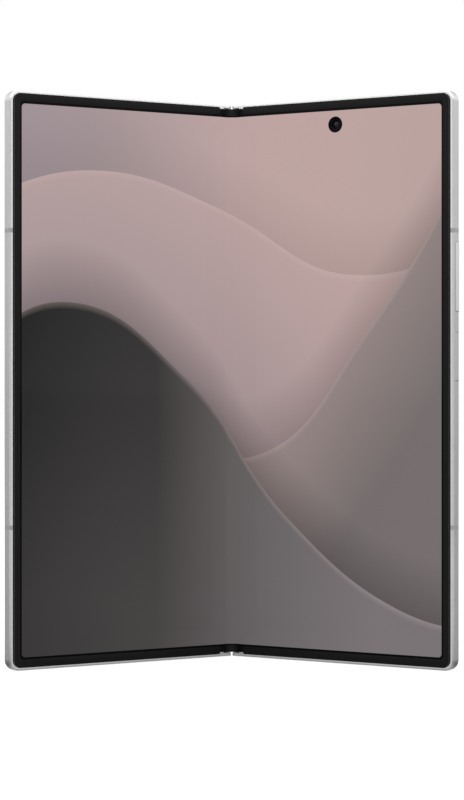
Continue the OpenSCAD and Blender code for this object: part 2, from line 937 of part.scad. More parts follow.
module half_screws(side, board_screws) {
    color("gray") on_half(side) {
        both_ends() for (z = plate_screws)
            screw(plate_screw_u, module_inset + z, screw_radius, screw_head,
                  rail_plate_y - screw_head_height, rail_plate_y, inside_back_y - clear);
        for (p = board_screws)
            mirror([0, 1, 0]) screw(p.x, p.y, screw_radius, screw_head,
                                    -board_back_y - screw_head_height, -board_back_y, -mid_back_y);
    }
}

module left_screws() {
    half_screws(-1, left_board_screws);
}

module right_screws() {
    half_screws(1, concat(right_board_screws, port_board_screws));
}

// ---- Left half ----

module battery(side, low, high) {
    color("black") on_half(side) layer(inside_y, inside_back_y)
        rounded_box(low, high, battery_corner);
}

module battery_left() {
    battery(-1, left_battery_low, left_battery_high);
}

// A circuit board with holes for its screws
module board(screws) {
    difference() {
        layer(board_y, board_back_y) children();
        for (p = screws)
            pin_y(p.x, p.y, screw_hole, 0, half_thickness);
    }
}

// A chip on the back of a board, placed from the board's lower corner
module chip(corner, place, size) {
    low = corner + place;
    high = low + size;
    block([low.x, board_back_y, low.y], [high.x, board_back_y + 0.6, high.y]);
}

module sub_board() {
    color("darkgreen") on_half(-1) {
        board(left_board_screws) rounded_box(sub_board_low, sub_board_high, board_corner);
        chip(sub_board_low, [10, 6], [10, 10]);
        chip(sub_board_low, [24, 6], [4, 6]);
    }
}

module earpiece() {
    color("dimgray") on_half(-1) difference() {
        block([cover_camera_u - earpiece_reach, inside_y, earpiece_z[0]],
              [cover_camera_u + earpiece_reach, inside_back_y, earpiece_z[1]]);
        // Mouth towards the slit
        block([cover_camera_u - slit_reach - 0.5, inside_back_y - 0.4, earpiece_z[0] + 0.8],
              [cover_camera_u + slit_reach + 0.5, inside_back_y + past, earpiece_z[1] - 0.8]);
    }
}

module vibration_motor() {
    low = [sub_board_high.x + 3, sub_board_low.y + 1];
    high = low + motor_size;
    lid = 0.2;
    margin = [board_corner, board_corner];
    color("gray") on_half(-1) {
        layer(inside_y, inside_back_y - lid) rounded_box(low, high, board_corner);
        layer(inside_back_y - lid, inside_back_y)
            rounded_box(low + margin, high - margin, board_corner);
    }
}

// Door and body of the tray, and the hole for its release pin
module tray_slot() {
    gap = tray_clearance;
    translate([0, 0, phone_height - wall - past])
        block([tray_u - tray_width / 2 - gap, tray_y[0] - gap, 0],
              [tray_u + tray_width / 2 + gap, tray_y[1] + gap, wall + 2 * past]);
}

module sim_tray() {
    top = phone_height;
    color("silver") on_half(-1) difference() {
        union() {
            block([tray_u - tray_width / 2, tray_y[0], top - tray_door],
                  [tray_u + tray_width / 2, tray_y[1], top]);
            block([tray_u - tray_width / 2 + 0.3, tray_y[0] + 0.1, top - tray_length],
                  [tray_u + tray_width / 2 - 0.3, tray_y[1] - 0.2, top - tray_door]);
        }
        // Pocket for the card
        block([tray_u - 4.4, tray_y[0] + 0.4, top - tray_length + 1.5],
              [tray_u + 4.4, tray_y[1] + past, top - tray_length + 13.8]);
        // Hole for the release pin
        translate([tray_u - tray_width / 2 + 2, (tray_y[0] + tray_y[1]) / 2, top - past])
            cylinder(h = 2 * past, r = microphone_radius);
    }
}

module sim_socket() {
    top = phone_height - wall - 0.2;
    gap = tray_clearance;
    color("gray") on_half(-1) difference() {
        block([tray_u - tray_width / 2 - gap - socket_wall, inside_y, socket_z],
              [tray_u + tray_width / 2 + gap + socket_wall, inside_back_y, top]);
        block([tray_u - tray_width / 2 - gap, tray_y[0] - gap, socket_z + socket_wall],
              [tray_u + tray_width / 2 + gap, tray_y[1] + gap, top + past]);
    }
}

module cover_display_panel() {
    inset = panel_inset;
    color("black") on_half(-1) difference() {
        layer(panel_y, glass_seat_y)
            half_outline(inset, corner_radius - inset, bar_end_u + clear);
        pin_y(cover_camera_u, cover_camera_z, cover_camera_radius + 0.3, 0, half_thickness);
        earpiece_slit(0.3);
    }
}

module earpiece_slit(margin) {
    block([cover_camera_u - slit_reach - margin, panel_y - past, slit_z[0] - margin],
          [cover_camera_u + slit_reach + margin, half_thickness + past, slit_z[1] + margin]);
}

// Glass pane over the back of a half
module back_pane() {
    inset = back_rim_width + glue;
    layer(glass_y, half_thickness) half_outline(inset, corner_radius - inset, glass_u);
}

module cover_display_glass() {
    color("black") on_half(-1) difference() {
        back_pane();
        earpiece_slit(0);
    }
}

// Small camera: a square body with a round lens barrel towards the glass
module small_camera(u, z, size, radius, y0, y1, barrel_y) {
    block([u - size / 2, y0, z - size / 2], [u + size / 2, y1, z + size / 2]);
    pin_y(u, z, radius, min(y0, barrel_y), max(y1, barrel_y));
}

module cover_camera() {
    color("black") on_half(-1)
        small_camera(cover_camera_u, cover_camera_z, cover_camera_body, cover_camera_radius,
                     inside_y, inside_back_y, glass_seat_y);
}

// ---- Right half ----

module battery_right() {
    battery(1, right_battery_low, right_battery_high);
}

module main_board() {
    color("darkgreen") on_half(1) board(right_board_screws) difference() {
        rounded_box(main_board_low, main_board_high, board_corner);
        box([inner_camera_u - camera_notch, inner_camera_z - camera_notch],
            [inner_camera_u + camera_notch, phone_height]);
    }
}

// Two large cans and a narrow one on the back of the main board, and one on its front
module shield_cans() {
    back = board_back_y + glue;
    low = main_board_low + [can_margin, 2 * can_margin];
    high = main_board_high - [1.5, 2 * can_margin + can_gap];
    split = [high.x - small_can_width - can_gap, (low.y + high.y) / 2];
    color("silver") on_half(1) {
        layer(back, inside_back_y) {
            rounded_box(low, split, board_corner);
            rounded_box([low.x, split.y + can_gap],
                        [inner_camera_u - camera_notch - can_gap, high.y], board_corner);
            rounded_box([split.x + can_gap, low.y], high, board_corner);
        }
        layer(inside_y, board_y - glue) rounded_box(low, high - [can_margin, can_gap],
                                                    board_corner);
    }
}

module port_board() {
    margin = port_shell + 0.3;
    color("darkgreen") on_half(1) board(port_board_screws) difference() {
        rounded_box(port_board_low, port_board_high, board_corner);
        box([port_u - port_width / 2 - margin, 0],
            [port_u + port_width / 2 + margin, wall + clear + port_depth + margin]);
    }
}

// Round-ended outline of the port, in u and y
module port_outline(grow) {
    high = port_opening + 2 * grow;
    wide = port_width + 2 * grow;
    translate([port_u, port_y]) {
        square([wide - high, high], center = true);
        for (side = [-1, 1])
            translate([side * (wide - high) / 2, 0]) circle(high / 2);
    }
}

module port_mouth() {
    tall(-past, wall + past) port_outline(0.04);
    block([port_u - port_width / 2 - 0.4, 0, wall + clear - 0.05],
          [port_u + port_width / 2 + 0.4, mid_back_y + clear, wall + port_depth + 1]);
}

module usb_c_port() {
    z0 = wall + clear;
    color("lightgray") on_half(1) {
        difference() {
            tall(z0, z0 + port_depth) port_outline(port_shell);
            tall(z0 - past, z0 + port_depth - 0.6) port_outline(0);
        }
        block([port_u - port_tongue.x / 2, port_y - port_tongue.y / 2, z0 + 1],
              [port_u + port_tongue.x / 2, port_y + port_tongue.y / 2, z0 + port_depth]);
    }
}

module bottom_speaker() {
    color("dimgray") on_half(1) difference() {
        layer(inside_y, inside_back_y)
            rounded_box(speaker_low, speaker_high, board_corner);
        // Chamber behind the holes
        block([speaker_holes[0] - 1, key_y - 0.6, 0],
              [speaker_holes[4] + 1, key_y + 0.6, speaker_low.y + 1]);
    }
}

module charging_coil() {
    color("orange") on_half(1) difference() {
        pin_y(coil_u, coil_z, coil_radius, panel_y + clear, glass_seat_y - glue);
        pin_y(coil_u, coil_z, coil_radius - coil_band, 0, half_thickness);
    }
}

module rear_camera(z) {
    color("black") on_half(1)
        small_camera(island_u, z, camera_body, camera_barrel, inside_y, island_flange_y - clear,
                     island_back_y - 0.1);
}

module camera_wide() {
    rear_camera(camera_rows[1]);
}

module camera_ultrawide() {
    rear_camera(camera_rows[0]);
}

module camera_tele() {
    rear_camera(camera_rows[2]);
}

// Outline with two half-round ends, grown on all sides
module island_outline(grow) {
    half = island_width / 2 + grow;
    straight = (island_length - island_width) / 2;
    box([island_u - half, island_z - straight], [island_u + half, island_z + straight]);
    for (side = [-1, 1])
        translate([island_u, island_z + side * straight]) circle(half);
}

module camera_island() {
    color("silver") on_half(1) difference() {
        union() {
            layer(island_flange_y, island_back_y) island_outline(0);
            layer(island_flange_y, glass_seat_y) island_outline(island_flange);
        }
        for (z = camera_rows)
            pin_y(island_u, z, camera_barrel + clear, 0, island_back_y + past);
        pin_y(flash_spot.x, flash_spot.y, flash_radius + clear, 0, island_back_y + past);
    }
}

module camera_lens_rings() {
    back = island_back_y + lens_ring_height;
    color("dimgray") on_half(1) for (z = camera_rows) difference() {
        pin_y(island_u, z, lens_ring_radius, island_back_y + 0.02, back);
        pin_y(island_u, z, lens_ring_radius - 0.8, island_back_y + 0.3, back + past);
        pin_y(island_u, z, camera_barrel - 1, island_back_y - past, back + past);
    }
}

module camera_lens_glasses() {
    back = island_back_y + lens_ring_height - 0.1;
    color("black") on_half(1) for (z = camera_rows)
        pin_y(island_u, z, lens_ring_radius - 0.85, back - 0.4, back);
}

module flash_led() {
    color("ivory") on_half(1)
        pin_y(flash_spot.x, flash_spot.y, flash_radius, island_flange_y, island_back_y - glue);
}

module inner_camera() {
    color("black") on_half(1)
        small_camera(inner_camera_u, inner_camera_z, small_camera_body,
                     screen_hole_radius - clear - glue,
                     inside_y, inside_back_y, screen_depth + glue);
}

module back_glass() {
    color("silver") on_half(1) difference() {
        back_pane();
        layer(0, half_thickness + past) island_outline(clear);
    }
}

// ---- Keys ----

module key_slot(middle, length) {
    gap = key_clearance;
    block([half_width - wall - past, key_y - key_width / 2 - gap, middle - length / 2 - gap],
          [half_width + past, key_y + key_width / 2 + gap, middle + length / 2 + gap]);
}

// Key with a flange that keeps it behind the wall
module key(middle, length, proud) {
    half = key_width / 2;
    inner = half_width - wall - key_flange_gap;
    layer(key_y - half, key_y + half)
        rounded_box([inner - 0.1, middle - length / 2], [half_width + proud, middle + length / 2],
                    0.12);
    block([inner - key_flange_thickness, key_y - half + 0.1, middle - length / 2 - key_flange],
          [inner, key_y + half - 0.1, middle + length / 2 + key_flange]);
}

module volume_key() {
    color("silver") on_half(1) key(volume_z, volume_length, volume_proud);
}

module power_key() {
    color("silver") on_half(1) key(power_z, power_length, 0);
}

// Dome switches behind the keys, on their strip
module key_switches() {
    flange_u = half_width - wall - key_flange_gap - key_flange_thickness;
    strip_u = flange_u - key_travel - switch_gap - switch_height;
    reach = switch_radius + clear;
    color("goldenrod") on_half(1) {
        block([strip_u - switch_strip, key_y - reach, power_z - power_length / 2],
              [strip_u, key_y + reach, volume_z + volume_length / 2]);
        for (z = [power_z, volume_z - volume_length / 3, volume_z + volume_length / 3])
            translate([strip_u, key_y, z]) rotate([0, 90, 0])
                cylinder(h = switch_height, r = switch_radius);
    }
}

spine_cover();
hinge_base_bottom();
hinge_base_top();
hinge_springs();
hinge_screws();
display_fold_strip();
hinge_lattice();
hinge_end_strip_bottom();
hinge_end_strip_top();
hinge_flex_cable();
left_gear_arms();
right_gear_arms();
left_idler_gears();
right_idler_gears();
left_frame();
left_bezel();
inner_display_left();
display_plate_left();
left_antenna_bands();
left_rotators();
flex_tail_left();
battery_left();
sub_board();
earpiece();
vibration_motor();
sim_socket();
sim_tray();
cover_display_panel();
cover_display_glass();
cover_camera();
left_screws();
right_frame();
right_bezel();
inner_display_right();
display_plate_right();
right_antenna_bands();
right_rotators();
flex_tail_right();
battery_right();
main_board();
shield_cans();
port_board();
usb_c_port();
bottom_speaker();
charging_coil();
camera_wide();
camera_ultrawide();
camera_tele();
camera_island();
camera_lens_rings();
camera_lens_glasses();
flash_led();
inner_camera();
back_glass();
key_switches();
volume_key();
power_key();
right_screws();
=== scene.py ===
import math

import bmesh
import bpy
from mathutils import Matrix, Vector


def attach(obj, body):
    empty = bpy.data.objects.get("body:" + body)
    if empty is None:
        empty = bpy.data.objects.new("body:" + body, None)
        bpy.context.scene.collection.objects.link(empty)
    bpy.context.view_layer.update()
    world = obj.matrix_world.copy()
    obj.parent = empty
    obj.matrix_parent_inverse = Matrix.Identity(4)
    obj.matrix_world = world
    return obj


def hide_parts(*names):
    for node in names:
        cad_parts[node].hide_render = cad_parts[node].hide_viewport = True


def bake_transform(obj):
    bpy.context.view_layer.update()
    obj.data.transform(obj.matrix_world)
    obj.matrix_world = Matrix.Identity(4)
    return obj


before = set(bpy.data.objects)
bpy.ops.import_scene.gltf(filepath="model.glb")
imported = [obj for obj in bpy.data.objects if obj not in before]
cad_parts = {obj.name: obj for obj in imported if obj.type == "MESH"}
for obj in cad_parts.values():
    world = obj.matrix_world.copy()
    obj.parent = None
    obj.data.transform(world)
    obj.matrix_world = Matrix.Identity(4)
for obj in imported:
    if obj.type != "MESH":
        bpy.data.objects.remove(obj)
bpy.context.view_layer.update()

# A foldable phone standing half open on its bottom edges. Lengths are in millimetres
# until MM turns them into metres. A half is modelled flat: u runs from the fold line to
# the free edge, y from the rim to the back, z up. lay_in_half then opens it.
MM = 0.001
LEFT, RIGHT = -1, 1
WORD = {LEFT: "left", RIGHT: "right"}
HEIGHT = 158.4
WIDTH = 71.6
RIM = 0.9
CORNER = 2.9
FOLD_TURN = math.radians(32)
# The fold axis in a flat half, and how far back it lies in the opened phone
AXIS_U = 1.3
AXIS_DEPTH = 1.05
SPINE_BACK = 16.408004
AXIS_BACK = AXIS_DEPTH + SPINE_BACK
# The screen bends from the fold line to FOLD_REACH, measured along it. BEND_END is where
# that lies in the opened phone.
FOLD_REACH = 3.4
SCREEN_FRONT = 0.10
SCREEN_BACK = 0.45
BEND_END = (AXIS_U + (FOLD_REACH - AXIS_U) * math.cos(FOLD_TURN)
            - (AXIS_DEPTH - SCREEN_FRONT) * math.sin(FOLD_TURN))

HALF_BODY = {LEFT: "left_half", RIGHT: "right_half"}


# ---- Modelling by hand ----

# Edges that turn more than this many degrees stay sharp
SHARP = 35
# Edges whose middle is this near a line or plane lie on it
NEAR = 0.005
# Corners closer than this are merged: in a new piece, and in a copy of a CAD node
MERGE = 0.002
NODE_MERGE = 0.001
# Faces that turn less than this many degrees become one in a copy of a CAD node
FLAT = 0.5
RING_SIDES = 64
HOLE_SIDES = 96
CORNER_STEPS = 14


def put_down():
    if bpy.context.object and bpy.context.object.mode == "EDIT":
        bpy.ops.object.mode_set(mode="OBJECT")
    bpy.ops.object.select_all(action="DESELECT")


def take_up(piece):
    put_down()
    piece.select_set(True)
    bpy.context.view_layer.objects.active = piece


def fix_place(piece):
    take_up(piece)
    bpy.ops.object.transform_apply(location=True, rotation=True, scale=True)


def block(name, low, high):
    put_down()
    centre = [(a + b) / 2 * MM for a, b in zip(low, high)]
    size = [(b - a) * MM for a, b in zip(low, high)]
    bpy.ops.mesh.primitive_cube_add(size=1, location=centre, scale=size)
    piece = bpy.context.object
    piece.name = name
    fix_place(piece)
    return piece


def rod(name, u, z, radius, y_low, y_high):
    """A round bar along the depth of a half."""
    put_down()
    bpy.ops.mesh.primitive_cylinder_add(
        vertices=HOLE_SIDES, radius=radius * MM, depth=(y_high - y_low) * MM,
        location=(u * MM, (y_low + y_high) / 2 * MM, z * MM), rotation=(math.pi / 2, 0, 0))
    piece = bpy.context.object
    piece.name = name
    fix_place(piece)
    return piece


def pick(piece, kind, test):
    """Enters edit mode and selects the faces or edges that pass. The test gets the middle
    in millimetres and the normal, or an edge's direction, and the item."""
    take_up(piece)
    bpy.ops.object.mode_set(mode="EDIT")
    bpy.ops.mesh.select_mode(type=kind)
    bpy.ops.mesh.select_all(action="DESELECT")
    mesh = bmesh.from_edit_mesh(piece.data)
    mesh.normal_update()
    if kind == "FACE":
        for face in mesh.faces:
            face.select_set(bool(test(face.calc_center_median() / MM, face.normal, face)))
    else:
        for edge in mesh.edges:
            ends = [v.co / MM for v in edge.verts]
            way = (ends[1] - ends[0]).normalized()
            edge.select_set(bool(test((ends[0] + ends[1]) / 2, way, edge)))
    bmesh.update_edit_mesh(piece.data)


def soften(width, segments):
    """Bevels the selected edges."""
    bpy.ops.mesh.bevel(offset=width * MM, offset_type="OFFSET", segments=segments,
                       profile=0.5, affect="EDGES", clamp_overlap=True)
    bpy.ops.object.mode_set(mode="OBJECT")


def tidy_normals(piece):
    take_up(piece)
    bpy.ops.object.mode_set(mode="EDIT")
    bpy.ops.mesh.select_all(action="SELECT")
    bpy.ops.mesh.remove_doubles(threshold=MERGE * MM)
    bpy.ops.mesh.normals_make_consistent(inside=False)
    bpy.ops.object.mode_set(mode="OBJECT")


def smooth(piece, degrees=SHARP):
    take_up(piece)
    bpy.ops.object.shade_smooth_by_angle(angle=math.radians(degrees))


def even_shade(piece, degrees=SHARP):
    """Smooth shading that leaves large flat faces flat."""
    smooth(piece, degrees)
    even = piece.modifiers.new("even", "WEIGHTED_NORMAL")
    even.keep_sharp = True
    bpy.ops.object.modifier_apply(modifier=even.name)


def soften_all(piece, width, segments):
    """Rounds every sharp edge of a piece."""
    take_up(piece)
    bevel = piece.modifiers.new("soften", "BEVEL")
    bevel.width = width * MM
    bevel.segments = segments
    bevel.limit_method = "ANGLE"
    bevel.angle_limit = math.radians(SHARP)
    bevel.use_clamp_overlap = True
    bpy.ops.object.modifier_apply(modifier=bevel.name)


def cut(piece, tool):
    """Cuts the tool's shape out of the piece."""
    take_up(piece)
    trim = piece.modifiers.new("cut", "BOOLEAN")
    trim.operation = "DIFFERENCE"
    trim.solver = "EXACT"
    trim.object = tool
    bpy.ops.object.modifier_apply(modifier=trim.name)
    bpy.data.objects.remove(tool)


def turned_ring(name, u, z, profile, closed=True):
    """A round piece about an axis along the depth: a circle that is extruded and resized
    through the profile's (radius, y) points. Closed joins the last loop to the first."""
    put_down()
    middle = Vector((u, 0, z)) * MM
    radius, y = profile[0]
    bpy.ops.mesh.primitive_circle_add(
        vertices=RING_SIDES, radius=radius * MM, fill_type="NOTHING" if closed else "NGON",
        location=(u * MM, y * MM, z * MM), rotation=(math.pi / 2, 0, 0))
    piece = bpy.context.object
    piece.name = name
    fix_place(piece)
    bpy.ops.object.mode_set(mode="EDIT")
    bpy.ops.mesh.select_all(action="SELECT")
    for new_radius, new_y in profile[1:]:
        move = {"value": (0, (new_y - y) * MM, 0)}
        if closed:
            bpy.ops.mesh.extrude_edges_move(TRANSFORM_OT_translate=move)
        else:
            bpy.ops.mesh.extrude_region_move(TRANSFORM_OT_translate=move)
        share = new_radius / radius
        bpy.ops.transform.resize(value=(share, 1, share), center_override=middle)
        radius, y = new_radius, new_y
    if closed:
        pick(piece, "EDGE", lambda c, way, e: e.is_boundary)
        bpy.ops.mesh.bridge_edge_loops()
    bpy.ops.object.mode_set(mode="OBJECT")
    tidy_normals(piece)
    smooth(piece)
    return piece


def flat_back(side):
    """The move from a flat half to its place in the half-open phone."""
    turn = (Matrix.Translation(Vector((AXIS_U, AXIS_BACK, 0)) * MM)
            @ Matrix.Rotation(-FOLD_TURN, 4, "Z")
            @ Matrix.Translation(Vector((-AXIS_U, -AXIS_DEPTH, 0)) * MM))
    return Matrix.Scale(-1, 4, (1, 0, 0)) @ turn if side == LEFT else turn


def lay_in_half(piece, side):
    piece.matrix_world = flat_back(side) @ piece.matrix_world
    fix_place(piece)
    if side == LEFT:
        tidy_normals(piece)


def seat_in_half(piece, side, body, slot, *nodes):
    """Opens a flat piece with its half, and lets it stand for nodes there."""
    lay_in_half(piece, side)
    if nodes:
        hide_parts(*nodes)
    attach(piece, body)


def paint(piece, *finishes):
    piece.data.materials.clear()
    for finish in finishes:
        piece.data.materials.append(finish)


def paint_faces(piece, slot, test):
    for face in piece.data.polygons:
        if test(face.center / MM, face.normal):
            face.material_index = slot


def solid_copy(node, name):
    """A merged copy of a CAD node, ready for softened edges."""
    piece = bpy.data.objects.new(name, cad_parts[node].data.copy())
    bpy.context.scene.collection.objects.link(piece)
    take_up(piece)
    bpy.ops.mesh.customdata_custom_splitnormals_clear()
    bpy.ops.object.mode_set(mode="EDIT")
    bpy.ops.mesh.select_all(action="SELECT")
    bpy.ops.mesh.remove_doubles(threshold=NODE_MERGE * MM)
    bpy.ops.mesh.dissolve_limited(angle_limit=math.radians(FLAT))
    bpy.ops.object.mode_set(mode="OBJECT")
    return piece


# ---- Finishes ----

def tone(red, green, blue):
    """A colour from its 0 to 255 values on a screen."""
    def linear(value):
        value /= 255
        return value / 12.92 if value <= 0.04045 else ((value + 0.055) / 1.055) ** 2.4
    return (linear(red), linear(green), linear(blue), 1)


def grey(value):
    return tone(value, value, value)


class Nodes:
    """A node tree and the short steps that build it."""

    def __init__(self, tree):
        self.tree = tree

    def add(self, kind, settings=None, **inputs):
        """A new node. Each input is named, or numbered as in i0, and set or linked."""
        made = self.tree.nodes.new(kind)
        for key, value in (settings or {}).items():
            setattr(made, key, value)
        for key, value in inputs.items():
            socket = made.inputs[int(key[1:]) if key[0] == "i" and key[1:].isdigit()
                                 else key.replace("_", " ")]
            if isinstance(value, bpy.types.NodeSocket):
                self.tree.links.new(value, socket)
            else:
                socket.default_value = value
        return made

    def maths(self, operation, a, b=0.0, c=0.0):
        return self.add("ShaderNodeMath", {"operation": operation}, i0=a, i1=b, i2=c).outputs[0]

    def parts(self, vector):
        """The X, Y and Z outputs of a vector."""
        return self.add("ShaderNodeSeparateXYZ", Vector=vector).outputs

    def lifted(self, value):
        """A value between -1 and 1, moved to between 0 and 1."""
        return self.maths("MULTIPLY_ADD", value, 0.5, 0.5)

    def blend(self, share, one, other, mode="MIX"):
        return self.add("ShaderNodeMix", {"data_type": "RGBA", "blend_type": mode},
                        i0=share, i6=one, i7=other).outputs[2]

    def curve(self, value, points):
        """A smooth curve through points, of which the first has x = 0 and the last x = 1."""
        made = self.add("ShaderNodeFloatCurve", Value=value)
        line = made.mapping.curves[0]
        line.points[0].location = points[0]
        line.points[1].location = points[-1]
        for point in points[1:-1]:
            line.points.new(*point)
        made.mapping.update()
        return made.outputs["Value"]


class Finish(Nodes):
    """A material and the short steps that build it."""

    def __init__(self, name, **shader_values):
        self.material = bpy.data.materials.new(name)
        self.material.use_nodes = True
        super().__init__(self.material.node_tree)
        self.shader = self.tree.nodes["Principled BSDF"]
        for socket, value in shader_values.items():
            self.shader.inputs[socket.replace("_", " ")].default_value = value
        self.place = self.add("ShaderNodeTexCoord").outputs["Object"]

    def link(self, output, socket):
        self.tree.links.new(output, self.shader.inputs[socket])

    def stretched(self, scale, turn=0.0, shift=(0, 0, 0)):
        """The place, scaled along each axis, for grain that runs one way."""
        return self.add("ShaderNodeMapping", Vector=self.place, Scale=scale,
                        Rotation=(0, 0, turn), Location=shift).outputs["Vector"]

    def noise(self, size, detail=3.0, place=None, roughness=0.5):
        """Soft spots of about this size in millimetres."""
        made = self.add("ShaderNodeTexNoise", Vector=place or self.place,
                        Scale=1 / (size * MM), Detail=detail, Roughness=roughness)
        return made.outputs["Fac"]

    def wave(self, value, step):
        """A sine of a value in metres, with this step in millimetres."""
        return self.maths("SINE", self.maths("MULTIPLY", value, 2 * math.pi / (step * MM)))

    def ramp(self, value, *stops):
        """Colours at their positions along a value from 0 to 1."""
        made = self.add("ShaderNodeValToRGB", Fac=value)
        steps = made.color_ramp.elements
        while len(steps) < len(stops):
            steps.new(0.5)
        for step, (position, colour) in zip(steps, stops):
            step.position = position
            step.color = colour
        return made.outputs["Color"]

    def spread(self, value, low, high, start=0.35, end=0.65):
        """Goes from low to high while the value goes from start to end."""
        return self.add("ShaderNodeMapRange", {"clamp": True}, Value=value, From_Min=start,
                        From_Max=end, To_Min=low, To_Max=high).outputs["Result"]

    def bump(self, value, depth):
        """Bumps of this depth in millimetres."""
        made = self.add("ShaderNodeBump", Height=value, Distance=depth * MM, Strength=1.0)
        self.link(made.outputs["Normal"], "Normal")

    def half_place(self, side):
        """The place in a flat half, in metres: u, y and z."""
        cos, sin = math.cos(FOLD_TURN), math.sin(FOLD_TURN)
        shift = ((AXIS_U - AXIS_U * cos + AXIS_BACK * sin) * MM,
                 (AXIS_DEPTH - AXIS_U * sin - AXIS_BACK * cos) * MM, 0)
        return self.stretched((side, 1, 1), FOLD_TURN, shift)


def cast_metal(name, light, dark, rough, size, bump):
    """Fine blasted metal with a little drift in tone and a grain of this size."""
    finish = Finish(name, Metallic=1.0)
    drift = finish.noise(14, 4)
    finish.link(finish.ramp(drift, (0.3, dark), (0.7, light)), "Base Color")
    grain = finish.noise(size, 2)
    finish.link(finish.spread(grain, rough * 0.94, rough * 1.06), "Roughness")
    finish.bump(grain, bump)
    return finish.material


def brushed_metal(name, light, dark, rough, way=(1, 1, 0.04)):
    """Metal with fine lines along the axis whose scale in way is smallest."""
    finish = Finish(name, Metallic=1.0)
    lines = finish.noise(0.12, 3, finish.stretched(way))
    finish.link(finish.ramp(lines, (0.3, dark), (0.7, light)), "Base Color")
    finish.link(finish.spread(lines, rough * 0.7, rough * 1.3), "Roughness")
    finish.bump(lines, 0.003)
    return finish.material


def plastic(name, light, dark, rough, size, gloss, bump=0.004):
    """Moulded plastic or rubber with a grain of this size."""
    finish = Finish(name, Specular_IOR_Level=gloss)
    grain = finish.noise(size, 4)
    finish.link(finish.ramp(grain, (0.35, dark), (0.65, light)), "Base Color")
    finish.link(finish.spread(grain, rough * 0.85, rough * 1.15), "Roughness")
    finish.bump(grain, bump)
    return finish.material


# Metals: light and dark tone, roughness, and size and depth of the grain, or its way.
# Plastics: light and dark tone, roughness, size of the grain, gloss and depth of the grain.
FRAME_METAL = cast_metal("frame_silver", grey(185), grey(181), 0.4, 0.3, 0.0003)
ANTENNA = plastic("antenna_resin", grey(160), grey(152), 0.42, 0.4, 0.3)
BEZEL = plastic("bezel_rubber", grey(17), grey(13), 0.5, 0.3, 0.085, 0.002)
# A paler bezel finish: a painted highlight for the rounding at the free edge
BEZEL_PAINTED_HIGHLIGHT = plastic("bezel_painted_highlight", grey(62), grey(54), 0.4, 0.3, 0.2, 0.001)
# Dark, dull finish of the seal under the bezel, which the bezel's sides also get as painted
# shade
BEZEL_SEAL_AND_SHADE = plastic("bezel_seal", grey(9), grey(5), 0.6, 0.3, 0.05, 0.002)
SCREEN_SIDE = plastic("screen_side", grey(12), grey(8), 0.4, 0.3, 0.1, 0.001)

# How far from the middle the strips' painted shade reaches: paler in the middle, darker towards
# the sides
STRIP_SHADE_REACH = 2.3


def strip_rubber_painted_shade():
    """Soft black rubber of the strips over the hinge, with painted shade: paler in the middle
    and near black at the sides, standing in for the shading of their concave shape.
    """
    finish = Finish("strip_rubber_painted_shade", Specular_IOR_Level=0.035)
    away = finish.maths("ABSOLUTE", finish.parts(finish.place)["X"])
    # Painted shade: the colour darkens from the middle out to the sides
    finish.link(finish.ramp(finish.spread(away, 0.0, 1.0, 0.0, STRIP_SHADE_REACH * MM),
                            (0.0, grey(33)), (0.45, grey(24)), (0.85, grey(10)),
                            (1.0, grey(4))), "Base Color")
    grain = finish.noise(0.3, 4)
    finish.link(finish.spread(grain, 0.42, 0.58), "Roughness")
    finish.bump(grain, 0.002)
    return finish.material


STRIP_BLACK_PAINTED_SHADE = strip_rubber_painted_shade()


# ---- Finishes of the inner parts and the back ----

def rings_about(finish, side, middle, step):
    """Rings about a middle (u, z) of a half, from 0 to 1."""
    moved = finish.add("ShaderNodeVectorMath", {"operation": "SUBTRACT"},
                       i0=finish.half_place(side), i1=(middle[0] * MM, 0, middle[1] * MM))
    level = finish.add("ShaderNodeVectorMath", {"operation": "MULTIPLY"}, i0=moved.outputs[0],
                       i1=(1, 0, 1))
    away = finish.add("ShaderNodeVectorMath", {"operation": "LENGTH"}, i0=level.outputs[0])
    return finish.lifted(finish.wave(away.outputs["Value"], step))


def circuit_board(name, side):
    """Dark green board with fine traces and pads."""
    finish = Finish(name, Specular_IOR_Level=0.4)
    place = finish.half_place(side)
    turned = finish.add("ShaderNodeMapping", Vector=place,
                        Rotation=(math.pi / 2, 0, 0)).outputs[0]
    tracks = finish.add("ShaderNodeTexBrick", {"offset": 0.37}, Vector=turned,
                        Scale=1 / (3.2 * MM), Mortar_Size=0.05, Mortar_Smooth=0.2,
                        Brick_Width=1.3, Row_Height=0.42, Color1=(0, 0, 0, 1),
                        Color2=(0, 0, 0, 1), Mortar=(1, 1, 1, 1)).outputs["Color"]
    cells = finish.add("ShaderNodeTexVoronoi", {"feature": "F1"}, Vector=place,
                       Scale=1 / (0.9 * MM)).outputs["Distance"]
    pads = finish.spread(cells, 1.0, 0.0, 0.16, 0.2)
    green = finish.ramp(finish.noise(2.5, 3), (0.35, tone(14, 46, 34)), (0.65, tone(22, 60, 44)))
    tracked = finish.blend(finish.maths("MULTIPLY", tracks, 0.6), green, tone(46, 96, 70))
    finish.link(finish.blend(pads, tracked, tone(196, 160, 92)), "Base Color")
    finish.link(finish.maths("MULTIPLY", pads, 0.9), "Metallic")
    finish.link(finish.spread(finish.noise(0.4), 0.32, 0.46), "Roughness")
    finish.bump(finish.maths("MAXIMUM", tracks, pads), 0.02)
    return finish.material


def pouch_foil(name, light, dark):
    """Creased foil of a battery pouch."""
    finish = Finish(name, Metallic=0.7)
    creases = finish.noise(5, 6, finish.stretched((1, 1, 0.5)), 0.62)
    finish.link(finish.ramp(creases, (0.3, dark), (0.7, light)), "Base Color")
    finish.link(finish.spread(finish.noise(0.8), 0.32, 0.5), "Roughness")
    finish.bump(creases, 0.06)
    return finish.material


